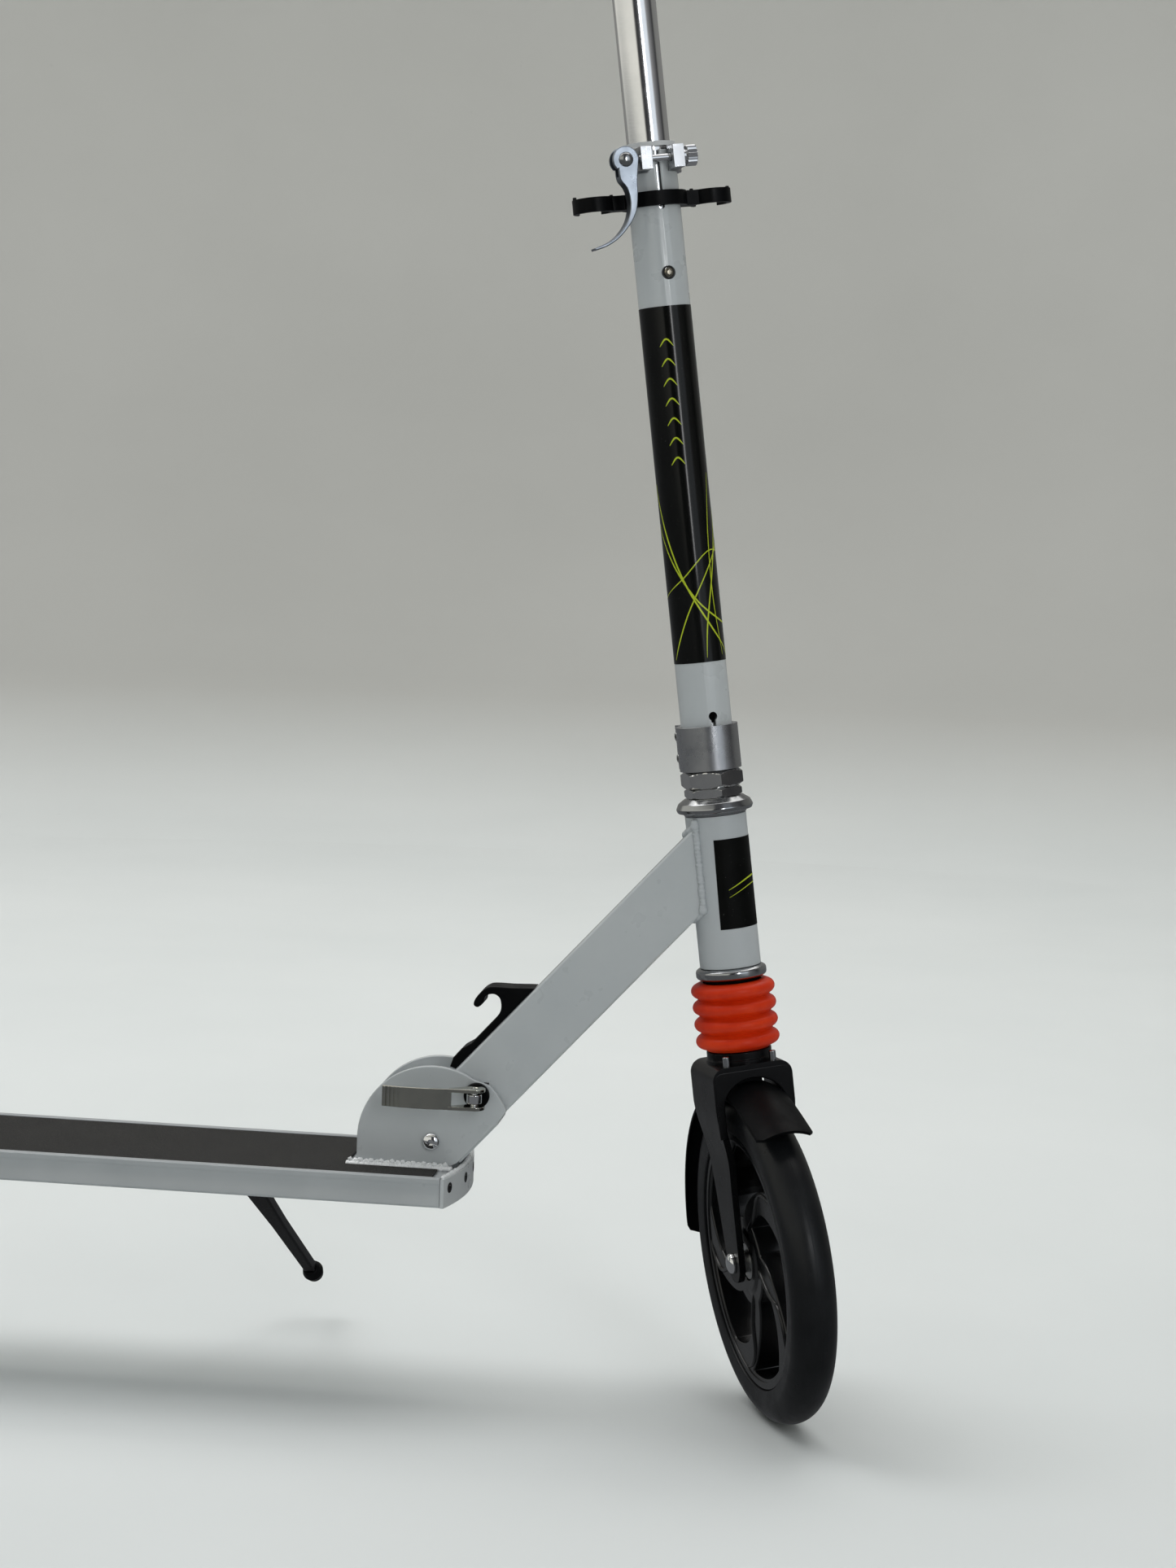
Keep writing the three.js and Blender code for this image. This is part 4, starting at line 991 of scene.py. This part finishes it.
def chamfered_nut(corner, hole, z0, z1, chamfer):
    """A hexagonal nut whose corners are turned off in cones at both ends."""
    n, levels = 180, 24
    turns = [2 * math.pi * k / n for k in range(n)]
    flat = corner * math.cos(math.radians(30))

    def ring_of(z, radii):
        return [Vector((math.cos(a), math.sin(a), 0)) * r + Vector((0, 0, z)) for a, r in zip(turns, radii)]

    rings = [ring_of(z0, [hole] * n)]
    for i in range(levels + 1):
        z = z0 + (z1 - z0) * i / levels
        limit = corner - max(chamfer - min(z - z0, z1 - z) / 0.6, 0.0)
        rings.append(ring_of(z, [min(limit, flat / math.cos(math.radians(360 * k / n % 60 - 30)))
                                 for k in range(n)]))
    rings.append(ring_of(z1, [hole] * n))
    verts = [v for r in rings for v in r]
    faces = []
    for i in range(len(rings)):
        a, b = i * n, (i + 1) % len(rings) * n
        faces += [(a + k, a + (k + 1) % n, b + (k + 1) % n, b + k) for k in range(n)]
    return cleaned(mesh_of(verts, faces))


swap("thin_nut", chamfered_nut(17.8, 13, 281.4, 286.6, 1.6), STEER, "nut_chrome", smooth=18)
swap("locknut", chamfered_nut(19.2, 13, 286.9, 297.4, 3.4), STEER, "nut_chrome", smooth=18)
closing(refined("suspension_spring"))
for node in ("steerer", "fender_spring", "stem_shim", "collar_bolt_lower", "collar_bolt_upper"):
    refined(node)
refined("clamp_collar", 0.5, 3, 42)

# Socket screws in the collar's ears, at these heights.
COLLAR_SCREWS = (304.4, 317.6)
screws = []
for w in COLLAR_SCREWS:
    head = spun([(0, -13.6), (2.5, -13.6), (2.5, -10), (0, -10)], 0.4, 3, 32)
    key = plate(circle(0, 0, 1.5, 6), -15, -12.2, (), 0.01, 0)
    screws.append(shift(moved(carved(head, key), ALONG_Y), -21.6, 0, w))
piece("collar_screw_heads", merged(*screws), STEER, "steel", "steering")

# ---- head tube and beam --------------------------------------------------------------------------
sleeve = hoop([(15.9, 178.5), (HEAD_R, 178.5), (HEAD_R, 270.6), (15.9, 270.6)], 0.6, 3, 96)
swap("head_tube", sleeve, HEAD, "head_paint_painted_shade")
refined("beam_tube", 1.8, 4, 50, along=BEAM_DIR)


def wrap(name, outline_rows, radius, place, look, body, thick=FILM):
    """A film on a round tube: rows of (angle in degrees, height)."""
    rows = []
    for row in outline_rows:
        rows.append([])
        for deg, w in row:
            a = math.radians(deg)
            n = Vector((math.cos(a), math.sin(a), 0))
            rows[-1].append((n * (radius + thick) + Vector((0, 0, w)), n))
    piece(name, shell(rows, thick - 0.02), place, look, body, smooth=50,
          flat_normals=False)


def film(low, high, start, stop, skew):
    """Rows for a rectangular label."""
    rows, count = [], 14
    for i in range(count + 1):
        t = i / count
        w = low + (high - low) * t
        rows.append([(start + (stop - start) * k / 60 + skew * (t - 0.5), w) for k in range(61)])
    return rows


def stripe(radius, points, width):
    """Rows for a line of even width on a tube through points of (angle, height)."""
    per = math.pi * radius / 180
    path = [Vector((deg * per, w)) for deg, w in smooth_line(points, 8)]
    rows = []
    for i, p in enumerate(path):
        t = (path[min(i + 1, len(path) - 1)] - path[max(i - 1, 0)]).normalized()
        n = Vector((-t.y, t.x))
        end = min(i, len(path) - 1 - i) / 10
        half = width / 2 * min(1.0, 0.25 + end)
        rows.append([((p.x + n.x * half * k) / per, p.y + n.y * half * k) for k in (-1, 0, 1)])
    return rows


def printed(name, radius, place, body, points, width):
    """A line printed on a label."""
    wrap(name, stripe(radius + FILM, points, width), radius + PRINT_AT, place, "label_line", body, PRINT)


wrap("head_label", film(202.5, 256.5, -95, 95, 3.0), HEAD_R, HEAD, "head_label_black", "beam")
for mark, ends, middle, width in (("a", 226, 232, 1.0), ("b", 221.5, 227.5, 0.6)):
    points = [(-74, ends), (-25, middle), (25, middle), (74, ends)]
    printed(f"head_label_line_{mark}", HEAD_R, HEAD, "beam", points, width)

refined("column_tube")
wrap("column_label", film(362.4, 573.2, -103.5, 103.5, 2.0), COLUMN_R, STEER, "label_black", "steering")
curves = [
    [(-98, 470), (-70, 440), (-30, 408), (20, 382), (70, 365)],
    [(-98, 446), (-50, 418), (0, 396), (60, 385), (100, 388)],
    [(100, 470), (62, 440), (30, 410), (8, 384), (0, 365)],
    [(100, 440), (40, 424), (-20, 398), (-60, 376), (-80, 365)],
    [(-100, 402), (-40, 412), (30, 428), (100, 424)],
    [(52, 474), (34, 440), (30, 400), (44, 366)],
]
for k, points in enumerate(curves):
    printed(f"column_label_curve_{k}", COLUMN_R, STEER, "steering", points, 1.0 - 0.08 * k)
# The angle round the column that the row of marks stands at.
MARKS_AT = -21
for k in range(7):
    w = 552 - 11.6 * k
    points = [(MARKS_AT + turn, w + rise) for turn, rise in ((-15, -2.4), (-4, 1.4), (4, 1.4), (15, -2.4))]
    printed(f"column_label_mark_{k}", COLUMN_R, STEER, "steering", points, 1.0)


def to_beam(p):
    return BEAM.inverted() @ (HEAD @ Vector(p))


def head_welds():
    """Beads where the beam meets the head tube: down both sides, and over the top and under the bottom."""
    beads = []
    u = -math.sqrt(HEAD_R ** 2 - BEAM_HALF_Y ** 2)
    for s in (-1, 1):
        levels = [w for w in range(170, 290) if abs(to_beam((u, BEAM_HALF_Y * s, w)).z) < 19.9]
        low, high = min(levels), max(levels)
        path = line((u - 0.6, 15.4 * s, low - 2), (u - 0.6, 15.4 * s, high + 2), 90)
        beads.append(sweep(path, 1.9, 12, 0.12, 2.6, 0.25, 5 + s, 1.0, X))
        for level, extra in ((low, 2.6), (low + 12, 2.1), (high, 2.6)):
            lump = line((u - 0.9, 15.2 * s, level - 3), (u - 0.9, 15.2 * s, level + 4), 9)
            beads.append(sweep(lump, extra, 12, 0.1, 3.0, 0.3, 11 + s, 1.0, X))
    for z in (-BEAM_HALF_Z, BEAM_HALF_Z):
        path = []
        for k in range(41):
            y = -BEAM_HALF_Y + 2 * BEAM_HALF_Y * k / 40
            u = -math.sqrt(HEAD_R ** 2 - y ** 2)
            nearest = min(range(1600, 3000), key=lambda w: abs(to_beam((u, y, w / 10)).z - z))
            path.append(Vector((u - 0.6, y, nearest / 10)))
        beads.append(sweep(path, 2.0, 12, 0.14, 2.6, 0.25, 23, 1.0, Z))
    return merged(*beads)


piece("head_weld", head_welds(), HEAD, "head_paint_painted_shade", "beam", smooth=180, flat_normals=False)

# ---- fold joint ----------------------------------------------------------------------------------
# The skewer's place from the fold pivot, and the level of the plates' feet below it.
LOCK_DX, LOCK_DZ = 40.5 * BEAM_DIR.x, 40.5 * BEAM_DIR.z
FOOT_LEVEL = -16.9
plate_outline = rounded([(-46, FOOT_LEVEL), *arc(0, 0, 46, 180, 58, 48), *arc(0, 0, 49.8, 46, 25, 10),
                         (40.2, 13.8), (15.5, -13.0), (8, FOOT_LEVEL)], 1.5, 3)
plate_holes = (circle(0, 0, 4.3, 28), circle(LOCK_DX, LOCK_DZ, 3.3, 24))
swap("fold_plate_right", wall(plate_outline, -PLATE_OUT, -PLATE_IN, plate_holes, 0.7, 3), PIVOT)
swap("fold_plate_left", wall(plate_outline, PLATE_IN, PLATE_OUT, plate_holes, 0.7, 3), PIVOT)
swap("fold_pivot_bolt", dome(4, 5.4, -19.8, 4.2, 27, 2.1), PIVOT)
swap("fold_pivot_nut", hex_nut(13, 4.3, 19.8, 25.5), PIVOT)


def ring(outer, inner, y0, y1, soft=0.6):
    """A plain ring along Y."""
    return moved(hoop([(inner, y0), (outer, y0), (outer, y1), (inner, y1)], soft, 3, 56), ALONG_Y)


swap("fold_skewer_washer", ring(7.8, 3.3, -24.1, -19.8, 1.2), LOCK)
skewer = spun([(0, -26.4), (3, -26.4), (3, 28), (0, 28)], 0.5, 3, 32)
swap("fold_skewer", moved(skewer, ALONG_Y), LOCK)


def knurled(outer, inner, y0, y1, teeth=30, depth=0.45):
    points = []
    for k in range(teeth * 2):
        a = math.pi * k / teeth
        r = outer if k % 2 else outer - depth
        points.append((r * math.cos(a), r * math.sin(a)))
    return moved(plate(points, y0, y1, (circle(0, 0, inner, 28),), 0.35, 2), ALONG_Y)


swap("fold_skewer_nut", merged(knurled(7, 3.3, 21, 26.5), ring(6, 3.3, 19.8, 21.2, 0.3)), LOCK)
CAM_Y = -31.5
cam = spun([(0, -6.2), (2, -6.2), (2, -2.8), (4.6, -2.8), (4.6, 2.8), (2, 2.8), (2, 6.2), (0, 6.2)],
           0.6, 3, 40)
swap("fold_cam_pin", shift(cam, y=CAM_Y), LOCK)


def fold_lever_shape():
    """Two arms round the cam pin, a curved blade and ribs at its tip."""
    cy = CAM_Y
    arm = [*arc(0, cy, 6.6, -80, 100, 20), (-8, cy + 1.5), (-15, cy - 4.2), (-15, cy - 7.7)]
    arms = [plate(arm, z, z + 2.2, (circle(0, cy, 2.3, 20),), 0.5, 3) for z in (-6.5, 4.3)]
    outer = [(-13, cy - 7.0), (-19, cy - 8.2), (-29, cy - 9.0), (-41, cy - 8.8), (-55, cy - 6.8)]
    inner = [(-55, cy - 5.0), (-41, cy - 7.0), (-29, cy - 7.2), (-19, cy - 6.2), (-13, cy - 4.6)]
    blade = plate([*smooth_line(outer, 8), *smooth_line(inner, 8)], -6.4, 6.4, (), 0.4, 2)
    rib = spun([(0, -6.2), (1.15, -6.2), (1.15, 6.2), (0, 6.2)], 0.4, 2, 20)
    grip = [shift(rib, -53.6 + 2.5 * k, cy - 6.8 - 0.24 * k) for k in range(5)]
    return merged(*arms, blade, *grip)


swap("fold_lever", fold_lever_shape(), LOCK, "chrome_painted_reflection")


def finger_shape():
    """A flat slide with a hook for the finger."""
    top = 20.0
    hook = smooth_line([
        (106.6, 23.6), (100, 30.5), (92.2, 39.2), (88.4, 41.4), (84.5, 41.9), (79.6, 41.4), (76.6, 40.0),
        (76.1, 38.2), (77.6, 36.5), (81.2, 36.2), (83.6, 37.6), (85.8, 38.0), (89.2, 36), (90.5, 33),
        (89.9, 30), (87, 26.6), (83.4, 24.8), (78, 24.3)], 5)
    outline = [(40, top), (110, top), *hook, (58, 24.2), (52, 26.0), (44, 26.0), (38.4, 23.6)]
    return wall(outline, -9, 9, (), 0.8, 3)


swap("finger_pull", finger_shape(), BEAM)


def deck_weld():
    """A broad bead at the foot of each fold plate, with scallops on it."""
    beads = []
    for s in (-1, 1):
        y = 20.6 * s
        path = line((-52, y, FOOT_LEVEL + 0.8), (14, y + 0.3 * s, FOOT_LEVEL + 0.8), 150)
        foot = [p + Vector((0, 1.3 * s, 0)) for p in path]
        beads.append(sweep(foot, 3.0, 14, 0.12, 3.4, 0.3, 31 + s, 0.6))
        scallops = [p + Vector((0, 0.4 * s, 1.4 + 0.9 * math.sin(0.85 * i)))
                    for i, p in enumerate(path[4:-6])]
        beads.append(sweep(scallops, 1.4, 12, 0.3, 3.3, 0.4, 41 + s, 1.0))
    return merged(*beads)


# A web between the plates, which the unfolded beam stops against.
web = block(1.5, 36, -15.4, 15.4, -21.7, -20.2, 0.4, 2)
piece("fold_web", web, BEAM, "white_paint", "deck")
piece("deck_weld", deck_weld(), PIVOT, "weld_paint_painted_highlight", "deck", smooth=180, flat_normals=False)

# ---- deck ----------------------------------------------------------------------------------------
# Half the deck's width, its two ends, and how far the nose bows out.
DECK_HALF, DECK_BACK, DECK_FRONT, NOSE_BOW = 53.5, -575, -199.3, 8


def deck_shape():
    """The extrusion's section: a lip over a shallow cove on each side, and three cells."""
    half = [(52.2, 127.2), (DECK_HALF, 128.5), (53.4, 129.8), (52.9, 131.6), (52.35, 134.0), (52.1, 136.6),
            (52.1, 139.2), (52.4, 140.9), (53.2, 141.8), (DECK_HALF, 142.6), (DECK_HALF, 144.6),
            (52.8, 145.3), (49.6, 145.3), (49.0, 144.7), (49.0, 143.1)]
    outline = [*half, *((-y, z) for y, z in half[::-1])]
    spans = (-50.0, -18.9), (-17.1, 17.1), (18.9, 50.0)
    cells = [[(a, 129.1), (b, 129.1), (b, 141.1), (a, 141.1)] for a, b in spans]
    return moved(plate(outline, DECK_BACK, DECK_FRONT, cells, 0.25, 2), SIDEWAYS)


swap("deck_frame", deck_shape(), PART, "deck_paint_painted_shade", smooth=30)
refined("grip_tape", 0.3, 2, 40)
refined("deck_nose", 0.6, 2, 40)


def nose_x(y):
    """The front face of the bowed end piece."""
    return -196.8 + NOSE_BOW * (1 - (y / DECK_HALF) ** 2)


def nose_weld():
    path = [Vector((nose_x(y) - 2.4, y, 145.0)) for y in (-51 + 0.85 * k for k in range(121))]
    return sweep(path, 1.5, 12, 0.14, 3.0, 0.35, 61, 1.0)


piece("nose_weld", nose_weld(), PART, "weld_paint_painted_highlight", "deck", smooth=180, flat_normals=False)
# Shallow near-black cups at the nose's screw holes: painted shade in the holes.
recesses = []
for y in (-45, -15, 15, 45):
    cup = spun([(0, -1.0), (3.2, -1.0), (3.2, 0.25), (1.6, 0.25), (1.3, -0.5), (0, -0.5)], 0.2, 2, 32)
    tilt = Matrix.Rotation(math.atan(2 * NOSE_BOW * y / DECK_HALF ** 2), 4, "Z")
    recesses.append(shift(moved(cup, tilt @ ALONG_X), nose_x(y), y, 138.4))
piece("nose_recesses_painted_shade", merged(*recesses), PART, "painted_shade_black", "deck")
refined("rear_fork", 0.8, 2, 40)
swap("fender_pin", dome(3, 5, -24.3, 2.6, 27), frame_of(joint_at("brake_hinge"), X, Y, Z))

# ---- kickstand -----------------------------------------------------------------------------------
LEG = KICK_REACH.length
leg = rounded([*arc(0, 0, 8, 60, 300, 24), (LEG * 0.45, -4.6), (LEG - 4, -3.8), (LEG - 4, 3.8),
               (LEG * 0.45, 4.6)], 1.0, 3)
swap("kickstand_leg", plate(leg, -3.6, 3.6, (circle(0, 0, 3.3, 28),), 1.4, 4), KICK)
toe = spun([(0, LEG - 3.7), (5.2, LEG - 3.7), (7, LEG + 2), (5.5, LEG + 8), (0, LEG + 9)], 2, 5, 48)
swap("kickstand_foot", moved(toe, ALONG_X), KICK)
refined("kickstand_bracket")
hinge_bolt = spun([(0, -6.6), (5.2, -6.6), (5.2, -3.9), (3, -3.9), (3, 11), (0, 11)], 0.6, 3, 40)
swap("kickstand_bolt", hinge_bolt, KICK)

# ---- stem clamp, clip and button -----------------------------------------------------------------
refined("stem_clamp", 0.45, 2, 42)
refined("stem_bolt")
rivet = lathe([(0, 4.7), (4.3, 4.7), (4.2, 5.4), (3.5, 6.3), (2.3, 6.9), (1.0, 7.15), (0, 7.2)], 40)
rivet = shift(moved(rivet, ALONG_X), *LEVER_AT)
piece("stem_rivet", rivet, STEER, "cup_steel", "steering")
nubs = [block(-5, -3, v - 1, v + 1, 640, 641.7, 0.4, 2) for v in (-47.2, -24.8, 24.8, 47.2)]
piece("clip_nubs", merged(*nubs), STEER, "black_plastic", "steering")
nut = merged(knurled(6.2, 2.5, 15.6, 21.6, 22, 0.6), ring(3.8, 2.5, 13.5, 15.8, 0.2))
swap("stem_nut", shift(nut, LEVER_AT[0], 0, LEVER_AT[2]), STEER)
refined("handlebar_clip", 0.7, 3, 42)
button = spun([(0, 13.95), (2.8, 13.95), (2.8, 15.9), (2.3, 16.6), (1.3, 16.95), (0, 17)], 0.4, 3, 40)
swap("height_button", shift(moved(button, ALONG_X), z=BUTTON_HEIGHT), STEER, "button_brass")
# A near-black ring round the button, in the column's hole: painted shade in the gap.
rim = hoop([(3.0, 14.6), (4.1, 14.6), (4.1, 15.5), (3.0, 15.5)], 0.25, 2, 40)
rim = shift(moved(rim, ALONG_X), z=BUTTON_HEIGHT)
piece("button_gap_painted_shade", rim, STEER, "painted_shade_black", "steering")


def stem_lever_shape():
    """A flat cam lever with a slot for the clamp bolt."""
    back = smooth_line([(-4.9, -5.0), (-4.4, -11.2), (-1.2, -16.3), (0.2, -22.7), (-0.3, -29), (-3, -36),
                        (-8.4, -42.4), (-14.7, -46.4), (-24.0, -49.4)])
    front = smooth_line([(-23.8, -50.7), (-16.6, -49.0), (-9.6, -45.4), (-4.2, -40.8), (0.5, -35.3),
                         (3.7, -29), (5.2, -21), (5.8, -12.3), (7.4, -2.5)])
    outline = [*arc(0, 0, 7.8, -8, 222, 40), *back, *front[:-1]]
    blade = plate(outline, -4.6, 4.6, (circle(0, 0, 2.9, 24),), 0.6, 3)
    slot = block(-12, 12, -9.5, 12, -2.6, 2.6, 0.3, 2)
    return moved(carved(blade, slot), Matrix.Translation(LEVER_AT) @ SIDEWAYS)


swap("stem_lever", stem_lever_shape(), STEER, "lever_steel")

# ---- upper stem and handlebar --------------------------------------------------------------------
refined("upper_tube", look="tube_chrome")
refined("handlebar_tee", 0.8, 3, 42)
# The handlebar's height up the column.
BAR_HEIGHT = 856
bar_frame = STEER @ Matrix.Translation((0, 0, BAR_HEIGHT))
for side, turn in (("right", math.pi), ("left", 0)):
    bar = ring(11, 9, 1.2, 190, 0.4)
    grip = [(11.3, 88), (17.2, 88), (17.4, 91.2), (16.2, 93.6)]
    for k in range(30):
        y = 95 + 3.2 * k
        grip += [(16.0, y), (15.7, y + 0.9), (15.45, y + 1.6), (15.7, y + 2.3)]
    grip += [(16.0, 192), (15.2, 194.6), (13.0, 196), (0, 196), (0, 190.4), (11.3, 190.4)]
    sleeve = moved(lathe([*grip, grip[0]], 64), ALONG_Y)
    flip = Matrix.Rotation(turn, 4, "Z")
    swap(f"handlebar_{side}", moved(bar, flip), bar_frame)
    swap(f"grip_{side}", moved(sleeve, flip), bar_frame, smooth=60, flat_normals=False)
